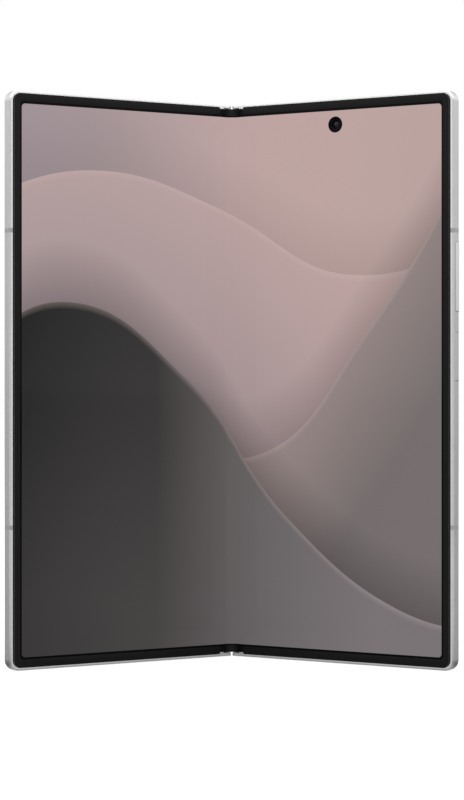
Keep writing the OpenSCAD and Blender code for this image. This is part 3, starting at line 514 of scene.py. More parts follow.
def pressed_tin(name, light, dark, rough=0.35):
    """Thin pressed sheet metal with shallow dents."""
    finish = Finish(name, Metallic=1.0)
    cells = finish.add("ShaderNodeTexVoronoi", {"feature": "SMOOTH_F1"}, Vector=finish.place,
                       Scale=1 / (0.7 * MM)).outputs["Distance"]
    drift = finish.noise(6, 4)
    finish.link(finish.ramp(drift, (0.3, dark), (0.7, light)), "Base Color")
    finish.link(finish.spread(drift, rough * 0.8, rough * 1.2), "Roughness")
    finish.bump(cells, 0.01)
    return finish.material


def flat_cable(name, side):
    """Amber film over rows of copper tracks."""
    finish = Finish(name, Coat_Weight=0.4, Coat_Roughness=0.2)
    up = finish.parts(finish.half_place(side))["Z"]
    shown = finish.spread(finish.lifted(finish.wave(up, 0.6)), 0.0, 1.0, 0.45, 0.55)
    film = finish.ramp(finish.noise(3), (0.3, tone(92, 50, 18)), (0.7, tone(112, 64, 24)))
    finish.link(finish.blend(shown, film, tone(176, 112, 52)), "Base Color")
    finish.link(finish.maths("MULTIPLY", shown, 0.6), "Metallic")
    finish.link(finish.spread(finish.noise(0.5), 0.3, 0.42), "Roughness")
    finish.bump(shown, 0.015)
    return finish.material


def wound_coil(name, side, middle):
    """Turns of copper wire about a middle (u, z)."""
    finish = Finish(name, Metallic=1.0)
    turns = rings_about(finish, side, middle, 0.55)
    finish.link(finish.ramp(turns, (0.1, tone(96, 48, 26)), (0.55, tone(206, 124, 78)),
                            (1.0, tone(226, 148, 104))), "Base Color")
    finish.link(finish.spread(finish.noise(0.3), 0.24, 0.38), "Roughness")
    finish.bump(turns, 0.08)
    return finish.material


def woven_mesh(name, side, dark, light, step=0.35):
    """A fine punched mesh, as over a speaker."""
    finish = Finish(name, Specular_IOR_Level=0.3)
    parts = finish.parts(finish.half_place(side))
    holes = finish.lifted(finish.maths("MULTIPLY", finish.wave(parts["X"], step),
                                       finish.wave(parts["Z"], step)))
    finish.link(finish.ramp(holes, (0.35, dark), (0.6, light)), "Base Color")
    finish.link(finish.spread(finish.noise(0.3), 0.4, 0.6), "Roughness")
    finish.bump(holes, 0.05)
    return finish.material


def frosted_back(name, light, dark):
    """Satin glass over a pale colour: a fine etched grain under a soft coat."""
    finish = Finish(name, Metallic=0.12, Specular_IOR_Level=0.4, Coat_Weight=0.15,
                    Coat_Roughness=0.25)
    finish.link(finish.ramp(finish.noise(22, 4), (0.3, dark), (0.7, light)), "Base Color")
    grain = finish.noise(0.16, 2)
    finish.link(finish.spread(grain, 0.34, 0.44), "Roughness")
    finish.bump(grain, 0.0016)
    return finish.material


def clear_glass(name, tint, rough, gloss):
    """Clear glass with the faintest smears."""
    finish = Finish(name, Transmission_Weight=1.0, IOR=1.5, Specular_IOR_Level=gloss)
    smear = finish.noise(9, 5)
    finish.link(finish.ramp(smear, (0.3, tint), (0.7, tone(250, 251, 252))), "Base Color")
    finish.link(finish.spread(smear, rough, rough * 2.2), "Roughness")
    return finish.material


def printed_glass(name, side, low, high, tint):
    """Dark clear glass with a black print round its window, from low to high (u, z)."""
    finish = Finish(name, IOR=1.5)
    parts = finish.parts(finish.half_place(side))
    inside = 1.0
    for way, start, end in (("X", low[0], high[0]), ("Z", low[1], high[1])):
        away = finish.maths("ABSOLUTE", finish.maths("SUBTRACT", parts[way],
                                                     (start + end) / 2 * MM))
        inside = finish.maths("MULTIPLY", inside, finish.maths(
            "LESS_THAN", away, (end - start) / 2 * MM))
    smear = finish.noise(11, 5)
    print_black = finish.ramp(smear, (0.3, tone(4, 4, 5)), (0.7, tone(6, 6, 7)))
    finish.link(finish.blend(inside, print_black, tint), "Base Color")
    finish.link(inside, "Transmission Weight")
    finish.link(finish.spread(smear, 0.015, 0.04), "Roughness")
    return finish.material


def coated_lens(name, middle, gloss=0.5, coat=1.0, rough=0.04):
    """Dark lens glass whose coating turns from violet to green towards its edge."""
    finish = Finish(name, Specular_IOR_Level=gloss, Coat_Weight=coat, Coat_Roughness=0.02)
    edge = finish.add("ShaderNodeLayerWeight", Blend=0.35).outputs["Facing"]
    finish.link(finish.ramp(edge, (0.0, middle), (0.4, tone(12, 14, 30)),
                            (0.8, tone(12, 30, 26)), (1.0, tone(6, 8, 8))), "Base Color")
    finish.link(finish.spread(finish.noise(1.2), rough, rough * 2), "Roughness")
    return finish.material


def ringed_lens(name, side, middle):
    """Pale flash lens with fine rings, over a yellowish light."""
    finish = Finish(name, Specular_IOR_Level=0.5, Coat_Weight=0.8, Coat_Roughness=0.05)
    rings = rings_about(finish, side, middle, 0.28)
    finish.link(finish.ramp(rings, (0.2, tone(214, 196, 140)), (0.8, tone(244, 238, 218))),
                "Base Color")
    finish.link(finish.spread(rings, 0.16, 0.3), "Roughness")
    finish.bump(rings, 0.03)
    return finish.material


SPINE_METAL = brushed_metal("spine_silver", grey(164), grey(154), 0.3)
# The volume key's silver is lighter than the frame's: a painted highlight for its lit side
KEY_METAL_PAINTED_HIGHLIGHT = cast_metal("key_silver_painted_highlight", grey(206), grey(202), 0.36, 0.3, 0.0003)
ISLAND_METAL = cast_metal("island_silver", grey(156), grey(149), 0.36, 0.3, 0.0006)
LENS_RING = brushed_metal("lens_ring_steel", grey(128), grey(112), 0.24, (1, 1, 1))
HINGE_STEEL = brushed_metal("hinge_steel", grey(178), grey(150), 0.32)
GEAR_STEEL = brushed_metal("gear_steel", tone(196, 188, 172), tone(164, 156, 142), 0.3)
SPRING_STEEL = brushed_metal("spring_steel", grey(200), grey(166), 0.24, (0.1, 1, 1))
SCREW_STEEL = cast_metal("screw_steel", grey(186), grey(150), 0.3, 0.25, 0.004)
SUPPORT_SHEET = brushed_metal("support_sheet", grey(112), grey(92), 0.36, (0.06, 1, 1))
MOTOR_STEEL = brushed_metal("motor_steel", grey(206), grey(176), 0.22, (1, 1, 0.1))
PORT_STEEL = cast_metal("port_steel", grey(186), grey(168), 0.24, 0.2, 0.002)
SHIELD_TIN = pressed_tin("shield_tin", grey(196), grey(172))
SOCKET_TIN = pressed_tin("socket_tin", grey(208), grey(186), 0.3)
MODULE_BLACK = plastic("module_black", grey(30), grey(20), 0.42, 0.3, 0.35, 0.004)
WELL_BLACK = plastic("well_black", grey(15), grey(9), 0.5, 0.2, 0.2, 0.003)
BARREL_BLACK = plastic("barrel_black", grey(14), grey(10), 0.5, 0.2, 0.02, 0.001)
PANEL_BLACK = plastic("panel_black", tone(13, 13, 16), tone(8, 8, 10), 0.16, 6, 0.5, 0.0)
SWITCH_DOMES = pressed_tin("switch_domes", tone(212, 176, 110), tone(184, 148, 86), 0.28)
BATTERY_FOIL = {LEFT: pouch_foil("battery_foil_left", grey(96), grey(70)),
                RIGHT: pouch_foil("battery_foil_right", grey(104), grey(76))}
BOARD = {LEFT: circuit_board("sub_board_green", LEFT),
         RIGHT: circuit_board("main_board_green", RIGHT)}
CABLE = {LEFT: flat_cable("flex_film_left", LEFT), RIGHT: flat_cable("flex_film_right", RIGHT)}
COIL = wound_coil("coil_copper", RIGHT, (37.07, 56))
SPEAKER_MESH = woven_mesh("speaker_mesh", RIGHT, grey(12), grey(46))
EARPIECE_MESH = woven_mesh("earpiece_mesh", LEFT, grey(14), grey(60), 0.28)
BACK_SILVER = frosted_back("back_glass_silver", grey(192), grey(185))
COVER_GLASS = printed_glass("cover_glass_clear", LEFT, (6.2, 2.6), (69.3, HEIGHT - 2.6),
                            grey(132))
LENS_COVER = clear_glass("lens_cover_clear", tone(226, 230, 234), 0.02, 0.25)
LENS_COAT = coated_lens("lens_coating", tone(22, 16, 40))
SELFIE_COAT = coated_lens("inner_lens_coating", tone(13, 13, 16), 0.12, 0.1, 0.16)
FLASH_LENS = ringed_lens("flash_lens", RIGHT, (65, 133.5))


# ---- Screen picture: soft overlapping waves in pink, mauve and charcoal ----

# The picture's map is this wide and high, with the fold line at its middle
SCREEN_SPAN = 160.0
# How far the lit area reaches from the screen's middle, and its round corners
LIT_HALF_WIDTH = 67.9
LIT_HALF_HEIGHT = 75.65
LIT_CORNER = 1.0
LIT_BLUR = 0.0003
# Shares of the picture: how far a wave's shadow and the light on its crest reach, and how
# soft the crest is
WAVE_SHADOW = 0.11
CREST_LIGHT = 0.012
CREST_BLUR = 0.0006


def screen_picture():
    """A glowing picture under dark glass, drawn on the map named picture."""
    finish = Finish("screen_picture", Roughness=0.05, Specular_IOR_Level=0.042,
                    Base_Color=(0.0008, 0.0008, 0.0008, 1), Emission_Strength=1.0)
    flat = finish.add("ShaderNodeUVMap", {"uv_map": "picture"}).outputs["UV"]
    across, up, _ = finish.parts(flat)

    picture = finish.ramp(across, (0.0, tone(156, 143, 149)), (0.22, tone(164, 148, 151)),
                          (0.5, tone(188, 163, 161)), (0.75, tone(188, 163, 159)),
                          (1.0, tone(184, 161, 158)))
    # Each wave: points of its crest, tones along the crest, tones far below it, how far
    # down they fade, and how bright its shadow leaves what lies behind
    waves = [
        ([(0, 0.80), (0.22, 0.86), (0.48, 0.80), (0.74, 0.68), (1, 0.74)],
         [(0.0, tone(178, 157, 157)), (1.0, tone(190, 163, 160))],
         [(0.0, tone(150, 138, 144)), (1.0, tone(176, 152, 151))], 0.34, 0.86),
        ([(0, 0.30), (0.3, 0.42), (0.55, 0.36), (0.78, 0.58), (1, 0.92)],
         [(0.3, tone(150, 134, 133)), (1.0, tone(142, 129, 126))],
         [(0.3, tone(112, 104, 104)), (1.0, tone(118, 110, 111))], 0.30, 0.72),
        ([(0, 0.56), (0.17, 0.63), (0.4, 0.50), (0.62, 0.25), (0.84, 0.10), (1, 0.07)],
         [(0.08, grey(32)), (0.34, tone(52, 50, 50)), (0.5, tone(98, 93, 93)),
          (0.8, tone(120, 114, 117))],
         [(0.08, tone(56, 54, 54)), (0.34, tone(70, 67, 67)), (0.5, tone(96, 91, 92)),
          (0.8, tone(126, 120, 123))],
         0.5, 0.62),
    ]
    for points, crest_tones, deep_tones, fade, shade in waves:
        crest = finish.curve(across, points)
        below = finish.maths("SUBTRACT", crest, up)
        # A soft shadow that the wave throws on what lies behind it
        shadow = finish.spread(below, 1.0, shade, -WAVE_SHADOW, 0.0)
        darker = finish.ramp(shadow, (0, grey(0)), (1, grey(255)))
        picture = finish.blend(1.0, picture, darker, "MULTIPLY")
        depth = finish.spread(below, 0.0, 1.0, 0.0, fade)
        body = finish.blend(depth, finish.ramp(across, *crest_tones),
                            finish.ramp(across, *deep_tones))
        # A thin light along the crest
        rim = finish.spread(below, 0.16, 0.0, 0.0, CREST_LIGHT)
        body = finish.blend(rim, body, tone(214, 194, 190))
        edge = finish.spread(below, 0.0, 1.0, -CREST_BLUR, CREST_BLUR)
        picture = finish.blend(edge, picture, body)

    # The lit area ends inside a dark border with round corners
    def past_edge(value, middle, reach):
        away = finish.maths("ABSOLUTE", finish.maths("SUBTRACT", value, middle))
        return finish.maths("SUBTRACT", away, (reach - LIT_CORNER) / SCREEN_SPAN)

    side_way = past_edge(across, 0.5, LIT_HALF_WIDTH)
    end_way = past_edge(up, HEIGHT / 2 / SCREEN_SPAN, LIT_HALF_HEIGHT)
    outside = finish.add("ShaderNodeVectorMath", {"operation": "LENGTH"},
                         i0=finish.add("ShaderNodeCombineXYZ",
                                       X=finish.maths("MAXIMUM", side_way, 0.0),
                                       Y=finish.maths("MAXIMUM", end_way, 0.0)).outputs[0])
    corner = LIT_CORNER / SCREEN_SPAN
    lit = finish.spread(outside.outputs["Value"], 1.0, 0.0, corner - LIT_BLUR,
                        corner + LIT_BLUR)
    finish.link(finish.blend(lit, grey(0), picture), "Emission Color")
    return finish.material


SCREEN = screen_picture()


def draw_picture_map(piece, side):
    """Lays the screen picture on a flat piece, before it is bent or opened."""
    layer = piece.data.uv_layers.new(name="picture")
    for loop in piece.data.loops:
        spot = piece.data.vertices[loop.vertex_index].co / MM
        layer.data[loop.index].uv = (0.5 + side * spot.x / SCREEN_SPAN, spot.z / SCREEN_SPAN)


# ---- Sheets and panes ----

PANEL_INSET = 1.75
# The hole's u, z and radius
CAMERA_HOLE = (34.6, 150.95, 2.25)
FOLD_COLUMNS = 24
BEND_STEPS = 20


def rounded_sheet(name, low, high, radius):
    """A block with two round corners at the free edge."""
    piece = block(name, low, high)
    pick(piece, "EDGE", lambda c, way, e: abs(way.y) > 0.9 and abs(c.x - high[0]) < NEAR)
    soften(radius, CORNER_STEPS)
    return piece


def inner_screen(side):
    """The flat part of a half's screen, with the picture on its front."""
    piece = rounded_sheet("screen_" + WORD[side], (FOLD_REACH, SCREEN_FRONT, PANEL_INSET),
                          (WIDTH - PANEL_INSET, SCREEN_BACK, HEIGHT - PANEL_INSET),
                          CORNER - PANEL_INSET)
    if side == RIGHT:
        u, z, radius = CAMERA_HOLE
        cut(piece, rod("hole_tool", u, z, radius, -1, 1))
    draw_picture_map(piece, side)
    paint(piece, SCREEN_SIDE, SCREEN)
    paint_faces(piece, 1, lambda c, n: n.y < -0.9)
    lay_in_half(piece, side)
    smooth(piece)
    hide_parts("inner_display_left" if side == LEFT else "inner_display_right")
    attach(piece, HALF_BODY[side])


def bent(spot):
    """Bends a point of the flat middle about the fold axis. The share of the fold grows
    from 0 at the fold line to 1 where the stiff part starts, and depends on where the
    bent point lies, so it's found in steps."""
    share = min(1.0, spot.x / FOLD_REACH)
    for _ in range(BEND_STEPS):
        angle = -FOLD_TURN * share
        du, dy = spot.x - AXIS_U, spot.y - AXIS_DEPTH
        u = AXIS_U + du * math.cos(angle) - dy * math.sin(angle)
        y = AXIS_DEPTH + du * math.sin(angle) + dy * math.cos(angle)
        t = min(max(u / BEND_END, 0.0), 1.0)
        share = t * t * (3 - 2 * t)
    return Vector((u, y + SPINE_BACK, spot.z))


def folded_sheet(name, low, high):
    """A flat sheet from the fold line out, cut into columns so that it can bend."""
    piece = block(name, low, high)
    take_up(piece)
    bpy.ops.object.mode_set(mode="EDIT")
    for i in range(1, FOLD_COLUMNS):
        bpy.ops.mesh.select_all(action="SELECT")
        bpy.ops.mesh.bisect(plane_co=(high[0] * i / FOLD_COLUMNS * MM, 0, 0),
                            plane_no=(1, 0, 0))
    bpy.ops.object.mode_set(mode="OBJECT")
    return piece


def lay_over_fold(piece, side):
    """Bends a flat sheet into its place in the opened phone."""
    for vertex in piece.data.vertices:
        spot = bent(vertex.co / MM)
        vertex.co = Vector((side * spot.x, spot.y, spot.z)) * MM
    tidy_normals(piece)
    smooth(piece, 60)
    if side == LEFT:
        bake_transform(piece)
    else:
        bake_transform(piece)


def screen_middle(side):
    """One side of the screen's bending middle."""
    piece = folded_sheet("screen_fold_" + WORD[side], (0, SCREEN_FRONT, PANEL_INSET),
                         (FOLD_REACH, SCREEN_BACK, HEIGHT - PANEL_INSET))
    draw_picture_map(piece, side)
    paint(piece, SCREEN_SIDE, SCREEN)
    paint_faces(piece, 1, lambda c, n: n.y < -0.9)
    lay_over_fold(piece, side)
    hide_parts("display_fold_strip")


BEZEL_FRONT = -0.2
BEZEL_BACK = 0.05
# u at which the bezel's arms and the seal under them start
BEZEL_START = 4.25
SEAL_START = 2.87
# Near the hinge the seal is cut back to this far from the phone's ends
SEAL_END = 1.33
# From the rim's inner face to the window, at the free edge and at the ends
BEZEL_SIDE = 2.2
BEZEL_END = 2.1
# Between rim and bezel at the free edge, and how far the bezel overlaps the rim at the ends
BEZEL_GAP = 0.32
BEZEL_LIP = 0.18
WINDOW_CORNER = 1.0
ARM_ROUND = 0.6
OUTER_ROUND = 0.19
INNER_ROUND = 0.12
# What lies this far past a line is beyond it
PAST = 0.2
# The frame's ledges: their distance to the seal's start, how far they reach under the
# bezel's arm, into the rim and short of the seal, their depth and their round edge
TAB_GAP = 0.03
TAB_COVER = 0.35
TAB_SINK = 0.02
TAB_SHORT = 0.11
TAB_DEPTH = 0.25
TAB_ROUND = 0.04


def three_sided(name, low, high, radius, inner):
    """A flat ring that is open towards the fold. Inner is the window's far corner (u, z)."""
    piece = rounded_sheet(name, low, high, radius)
    window = rounded_sheet("window_tool", (-2, -2, inner[1]),
                           (inner[0], 2, HEIGHT - inner[1]), WINDOW_CORNER)
    cut(piece, window)
    return piece


def inner_bezel(side):
    """The raised soft bezel round three sides of a half's screen, on a thin black seal."""
    word = WORD[side]
    inner = (WIDTH - RIM - BEZEL_SIDE, RIM + BEZEL_END)
    seal = three_sided("bezel_seal_" + word, (SEAL_START, 0.0, RIM),
                       (WIDTH - RIM, BEZEL_BACK, HEIGHT - RIM), CORNER - RIM, inner)
    for z in (0, HEIGHT):
        reach = SEAL_END if z == 0 else -SEAL_END
        cut(seal, block("notch_tool", (0, -1, min(z, z + reach)),
                        (BEZEL_START + PAST, 1, max(z, z + reach))))
    paint(seal, BEZEL_SEAL_AND_SHADE)
    seat_in_half(seal, side, HALF_BODY[side], "bezel", word + "_bezel")
    ring = three_sided("bezel_" + word, (BEZEL_START, BEZEL_FRONT, RIM - BEZEL_LIP),
                       (WIDTH - RIM - BEZEL_GAP, 0.0, HEIGHT - RIM + BEZEL_LIP),
                       CORNER - RIM, inner)
    # Round ends of the two arms
    pick(ring, "EDGE", lambda c, way, e: abs(way.y) > 0.9 and abs(c.x - BEZEL_START) < NEAR)
    soften(ARM_ROUND, 6)

    def outer_edge(c, way, e):
        return (abs(c.y - BEZEL_FRONT) < NEAR
                and (c.x > inner[0] + PAST or min(c.z, HEIGHT - c.z) < inner[1] - PAST
                     or c.x < BEZEL_START + ARM_ROUND + 0.1))

    pick(ring, "EDGE", outer_edge)
    soften(OUTER_ROUND, 5)
    pick(ring, "EDGE", lambda c, way, e: abs(c.y - BEZEL_FRONT) < NEAR
         and abs(way.y) < 0.1 and not outer_edge(c, way, e)
         and c.x <= inner[0] + NEAR and min(c.z, HEIGHT - c.z) >= inner[1] - NEAR)
    soften(INNER_ROUND, 3)
    paint(ring, BEZEL, BEZEL_SEAL_AND_SHADE, BEZEL_PAINTED_HIGHLIGHT)
    # The sides get the dark seal finish as painted shade, and the rounding at the free edge a
    # paler finish as a painted highlight
    paint_faces(ring, 1, lambda c, n: n.y > -0.6)
    paint_faces(ring, 2, lambda c, n: -0.985 < n.y and n.x > 0.1 and c.x > inner[0] + 0.5)
    seat_in_half(ring, side, HALF_BODY[side], "bezel", word + "_bezel")
    smooth(ring, 40)


def frame_tabs(side):
    """Ledges of the frame between the bezel's arms and the hinge."""
    for end, z in (("bottom", 0), ("top", HEIGHT)):
        reach = [z + (way if z == 0 else -way)
                 for way in (RIM - TAB_SINK, SEAL_END - TAB_SHORT)]
        tab = block("frame_tab_" + end + "_" + WORD[side],
                    (SEAL_START + TAB_GAP, 0.0, min(reach)),
                    (BEZEL_START + TAB_COVER, TAB_DEPTH, max(reach)))
        pick(tab, "EDGE", lambda c, way, e: abs(c.y) < NEAR)
        soften(TAB_ROUND, 2)
        paint(tab, FRAME_METAL)
        seat_in_half(tab, side, HALF_BODY[side], "frame_metal")
        even_shade(tab)


for side in (LEFT, RIGHT):
    frame_tabs(side)
    inner_screen(side)
    screen_middle(side)
    inner_bezel(side)


# ---- Frame, hinge cover and keys ----

def soft_twin(node, name, body, width, segments, finish):
    """A CAD piece with its sharp edges rounded."""
    piece = solid_copy(node, name)
    soften_all(piece, width, segments)
    even_shade(piece, 40)
    paint(piece, finish)
    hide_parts(node)
    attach(piece, body)
    return piece


def fold_piece(node, name, side, finish):
    """One side of a thin CAD piece, cut off at the fold line."""
    piece = solid_copy(node, name)
    take_up(piece)
    bpy.ops.object.mode_set(mode="EDIT")
    bpy.ops.mesh.select_all(action="SELECT")
    bpy.ops.mesh.bisect(plane_co=(0, 0, 0), plane_no=(side, 0, 0), clear_inner=True,
                        use_fill=True)
    bpy.ops.object.mode_set(mode="OBJECT")
    tidy_normals(piece)
    smooth(piece, 40)
    paint(piece, finish)
    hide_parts(node)
    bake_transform(piece)


for side, word in WORD.items():
    for end in ("bottom", "top"):
        fold_piece("hinge_end_strip_" + end, "end_strip_" + end + "_" + word, side, STRIP_BLACK_PAINTED_SHADE)
    fold_piece("hinge_lattice", "hinge_lattice_" + word, side, SUPPORT_SHEET)
    fold_piece("hinge_flex_cable", "hinge_cable_" + word, side, CABLE[side])


# How far each long side of a key moves out
KEY_FILL = 0.06


def widen_key(piece):
    """Moves both long sides of a key out, so that it fills its slot."""
    for way in (1, -1):
        side_way = Vector((math.sin(FOLD_TURN), math.cos(FOLD_TURN), 0)) * way
        pick(piece, "FACE", lambda c, n, f: n.dot(side_way) > 0.9)
        bpy.ops.transform.translate(value=side_way * KEY_FILL * MM)
        bpy.ops.object.mode_set(mode="OBJECT")


for node, name, body, width, finish in (
        ("volume_key", "volume_keys", "volume_rocker", 0.05, KEY_METAL_PAINTED_HIGHLIGHT),
        ("power_key", "power_button_key", "power_button", 0.03, FRAME_METAL)):
    key = soft_twin(node, name, body, width, 3, finish)
    widen_key(key)
soft_twin("back_glass", "back_pane", "right_half", 0.12, 3, BACK_SILVER)
soft_twin("cover_display_glass", "cover_pane", "left_half", 0.12, 3, COVER_GLASS)
soft_twin("camera_island", "camera_plinth", "right_half", 0.3, 4, ISLAND_METAL)


# ---- Cameras ----

ISLAND_U = 60.4
# z of each rear camera, and the radius of its lens
ROWS = {"camera_wide": 123.9, "camera_ultrawide": 143.1, "camera_tele": 104.7}
LENS_SIZES = {"camera_wide": 2.35, "camera_ultrawide": 2.1, "camera_tele": 1.9}
# Half the width of the inner camera's square body, and the y of its front and back
BODY_REACH = 3.2
BODY_FRONT = 1.25
BODY_BACK = 3.1


def lens_surround(node, z):
    """Metal ring, clear cover, black stepped barrel and coated lens of one rear camera."""
    word = node.split("_")[1]
    ring = turned_ring("lens_ring_" + word, ISLAND_U, z, [
        (6.0, 5.72), (6.0, 6.4), (5.95, 6.52), (5.84, 6.6), (5.5, 6.6), (5.34, 6.57),
        (5.22, 6.45), (5.2, 6.02), (3.2, 6.02), (3.2, 5.72)])
    paint(ring, LENS_RING)
    seat_in_half(ring, RIGHT, "right_half", "lens_ring", "camera_lens_rings")
    cover = turned_ring("lens_cover_" + word, ISLAND_U, z, [
        (5.1, 6.1), (5.15, 6.15), (5.15, 6.42), (5.07, 6.5)], closed=False)
    paint(cover, LENS_COVER)
    seat_in_half(cover, RIGHT, "right_half", "lens_glass", "camera_lens_glasses")
    size = LENS_SIZES[node]
    barrel = turned_ring("lens_barrel_" + word, ISLAND_U, z, [
        (3.12, 5.62), (3.12, 6.03), (5.08, 6.03), (5.08, 6.08), (size + 0.46, 6.07),
        (size + 0.4, 5.92), (size + 0.36, 5.9),
        (size + 0.22, 5.88), (size + 0.16, 5.78), (size + 0.02, 5.76), (size, 5.62)])
    paint(barrel, WELL_BLACK)
    seat_in_half(barrel, RIGHT, "right_half", "module_black")
    lens = turned_ring("lens_" + word, ISLAND_U, z, [
        (size - 0.02, 5.61), (size - 0.02, 5.7), (size * 0.92, 5.78), (size * 0.75, 5.87),
        (size * 0.5, 5.94), (size * 0.25, 5.975), (0.05, 5.985)], closed=False)
    paint(lens, LENS_COAT)
    seat_in_half(lens, RIGHT, "right_half", "lens_glass")


for node, z in ROWS.items():
    lens_surround(node, z)


def inner_camera():
    """Square body and a round barrel with a stepped well and a small lens."""
    u, z, _ = CAMERA_HOLE
    body = block("inner_camera_body", (u - BODY_REACH, BODY_FRONT, z - BODY_REACH),
                 (u + BODY_REACH, BODY_BACK, z + BODY_REACH))
    pick(body, "EDGE", lambda c, way, e: True)
    soften(0.15, 2)
    barrel = turned_ring("inner_camera_barrel", u, z, [
        (2.1, 1.24), (2.1, 0.24), (2.03, 0.16), (1.66, 0.15), (1.58, 0.2), (1.3, 0.42),
        (1.24, 0.44), (1.2, 0.62), (0.98, 0.66), (0.96, 0.8), (0.96, 1.24)])
    lens = turned_ring("inner_camera_lens", u, z, [
        (0.95, 1.2), (0.95, 0.86), (0.86, 0.78), (0.66, 0.71), (0.42, 0.66), (0.2, 0.64),
        (0.03, 0.635)], closed=False)
    paint(body, MODULE_BLACK)
    paint(barrel, BARREL_BLACK)
    paint(lens, SELFIE_COAT)
    seat_in_half(body, RIGHT, "right_half", "module_black", "inner_camera")
    seat_in_half(barrel, RIGHT, "right_half", "module_black", "inner_camera")
    seat_in_half(lens, RIGHT, "right_half", "lens_glass")


inner_camera()


# ---- Pieces that keep their shape ----

NODE_FINISH = [
    (FRAME_METAL, "left_frame right_frame sim_tray"),
    (SPINE_METAL, "spine_cover"),
    (ANTENNA, "left_antenna_bands right_antenna_bands"),
    (HINGE_STEEL, "hinge_base_bottom hinge_base_top left_rotators right_rotators"),
    (SPRING_STEEL, "hinge_springs"),
    (SCREW_STEEL, "hinge_screws left_screws right_screws"),
    (GEAR_STEEL, "left_gear_arms right_gear_arms left_idler_gears right_idler_gears"),
    (SUPPORT_SHEET, "display_plate_left display_plate_right"),
    (CABLE[LEFT], "flex_tail_left"),
    (CABLE[RIGHT], "flex_tail_right"),
    (BATTERY_FOIL[LEFT], "battery_left"),
    (BATTERY_FOIL[RIGHT], "battery_right"),
    (BOARD[LEFT], "sub_board"),
    (BOARD[RIGHT], "main_board port_board"),
    (EARPIECE_MESH, "earpiece"),
    (SPEAKER_MESH, "bottom_speaker"),
    (MOTOR_STEEL, "vibration_motor"),
    (SOCKET_TIN, "sim_socket"),
    (SHIELD_TIN, "shield_cans"),
    (PORT_STEEL, "usb_c_port"),
    (COIL, "charging_coil"),
    (SWITCH_DOMES, "key_switches"),
    (PANEL_BLACK, "cover_display_panel"),
    (MODULE_BLACK, "cover_camera camera_wide camera_ultrawide camera_tele"),
    (FLASH_LENS, "flash_led"),
]
for finish, nodes in NODE_FINISH:
    for node in nodes.split():
        paint(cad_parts[node], finish)


# ---- Floor, light and camera ----

# The floor, the lamps and the camera are in metres
FLOOR_SIZE = 30
FLOOR_GAP = 0.0002
# A shadow is painted on the floor where metal and glass see it beside the object, darker there
# than in front of it: where that painted shade starts and ends away from the middle (x) and
# towards the back (y), and where it grows lighter again further out (x)
PAINTED_SHADOW_ASIDE = (0.0595, 0.0635)
PAINTED_SHADOW_BACK = (-0.06, -0.038)
PAINTED_SHADOW_FADE = (0.064, 0.09)


def studio_white(name, colour, own_strength, mirrored_strength):
    """A pale surface that shows as white to the camera and takes the object's shadow. In metal
    and glass it shows white too, except for a painted shadow beside the object."""
    finish = Finish(name, Roughness=0.9, Specular_IOR_Level=0.0, Emission_Color=(1, 1, 1, 1))
    rays = finish.add("ShaderNodeLightPath").outputs
    mirrored = finish.maths("MAXIMUM", rays["Is Glossy Ray"], rays["Is Transmission Ray"])
    parts = finish.parts(finish.place)
    away = finish.maths("ABSOLUTE", parts["X"])
    # Painted shadow: the zone beside the object where metal and glass see the floor darker
    behind = finish.maths("MULTIPLY", finish.spread(away, 0.0, 1.0, *PAINTED_SHADOW_ASIDE),
                          finish.spread(parts["Y"], 0.0, 1.0, *PAINTED_SHADOW_BACK))
    # The darker floor colour painted into that zone
    shade = finish.ramp(finish.spread(away, 0.0, 1.0, *PAINTED_SHADOW_FADE),
                        (0, grey(122)), (1, grey(172)))
    strength = finish.maths("MULTIPLY_ADD", behind, -mirrored_strength, mirrored_strength)
    finish.link(finish.blend(finish.maths("MULTIPLY", behind, rays["Is Glossy Ray"]),
                             colour, shade), "Base Color")
    finish.link(finish.maths("MAXIMUM", finish.maths("MULTIPLY", mirrored, strength),
                             finish.maths("MULTIPLY", rays["Is Camera Ray"], own_strength)),
                "Emission Strength")
    return finish.material


def make_floor():
    put_down()
    bpy.ops.mesh.primitive_plane_add(size=FLOOR_SIZE, location=(0, 0, -FLOOR_GAP))
    floor = bpy.context.object
    floor.name = "studio_floor"
    paint(floor, studio_white("floor_white_painted_shadow", grey(190), 0.8, 0.3))


# How bright the studio looks in metal, from the camera's side (0) to the back (1)
GLOW_STRENGTH = 1.65
GLOW = [(0, 0.47), (0.1, 0.55), (0.26, 1.1), (0.5, 0.8), (0.74, 0.72), (1, 0.25)]
# The light that the studio's walls throw on everything
WALL_LIGHT = (0.35, 0.35, 0.354, 1)


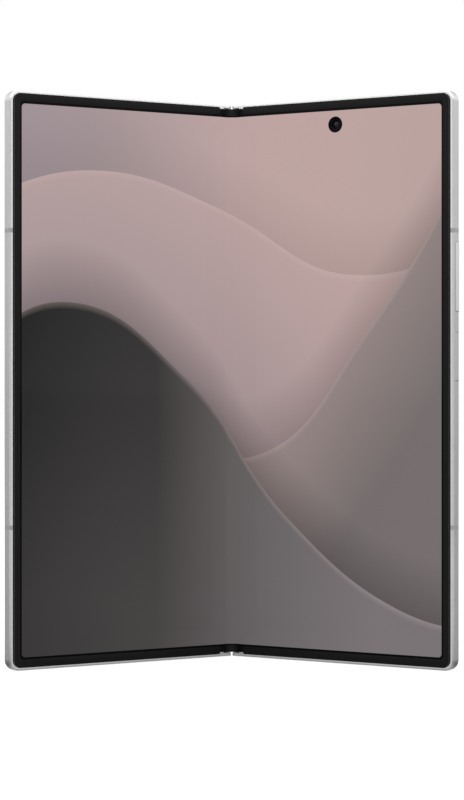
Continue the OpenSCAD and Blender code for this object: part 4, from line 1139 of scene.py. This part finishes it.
def make_world():
    """White to the camera, graded in metal and glass, and a soft grey light for the rest."""
    world = bpy.data.worlds.new("studio")
    bpy.context.scene.world = world
    world.use_nodes = True
    nodes = Nodes(world.node_tree)
    rays = nodes.add("ShaderNodeLightPath").outputs
    mirrored = nodes.maths("MAXIMUM", rays["Is Glossy Ray"], rays["Is Transmission Ray"])
    seen = nodes.maths("MAXIMUM", rays["Is Camera Ray"], mirrored)
    # Metal sees the studio brightest to the sides of the camera
    way = nodes.parts(nodes.add("ShaderNodeTexCoord").outputs["Generated"])
    glow = nodes.maths("MULTIPLY", nodes.curve(nodes.lifted(way["Y"]), GLOW), GLOW_STRENGTH)
    white = nodes.add("ShaderNodeMix", i0=mirrored, i2=1.0, i3=glow).outputs[0]
    light = world.node_tree.nodes["Background"]
    light.inputs["Strength"].default_value = 1.0
    world.node_tree.links.new(nodes.blend(seen, WALL_LIGHT, white), light.inputs["Color"])


def soft_lamp(name, place, target, size, power):
    """A rectangular lamp of this power in watts, turned towards its target."""
    lamp = bpy.data.lights.new(name, "AREA")
    lamp.shape = "RECTANGLE"
    lamp.size, lamp.size_y = size
    lamp.energy = power
    holder = bpy.data.objects.new(name, lamp)
    holder.location = place
    way = Vector(target) - Vector(place)
    holder.rotation_euler = way.to_track_quat("-Z", "Y").to_euler()
    bpy.context.scene.collection.objects.link(holder)


def make_lamps():
    middle = (0, 0, 0.08)
    soft_lamp("top_lamp", (0, -0.1, 0.95), (0, 0, 0.1), (1.4, 1.4), 5.5)
    soft_lamp("front_lamp", (0, -1.1, 0.8), middle, (0.8, 0.5), 6.0)
    for side, word in WORD.items():
        soft_lamp("rear_lamp_" + word, (1.0 * side, 0.05, 0.85), middle, (1.1, 1.0), 5)
        soft_lamp("front_lamp_" + word, (0.95 * side, -0.46, 0.6), middle, (0.6, 0.5), 0.5)


def make_camera():
    lens = bpy.data.cameras.new("camera")
    lens.lens = 108.2
    lens.sensor_width = 36
    lens.shift_x = 0.00044
    lens.shift_y = -0.02115
    lens.clip_start = 0.01
    lens.clip_end = 100
    camera = bpy.data.objects.new("camera", lens)
    camera.location = (0, -0.67489, 0.07848)
    camera.rotation_euler = (math.pi / 2, 0, 0)
    bpy.context.scene.collection.objects.link(camera)
    bpy.context.scene.camera = camera


make_floor()
make_world()
make_lamps()
make_camera()
bpy.context.scene.view_settings.view_transform = "Standard"
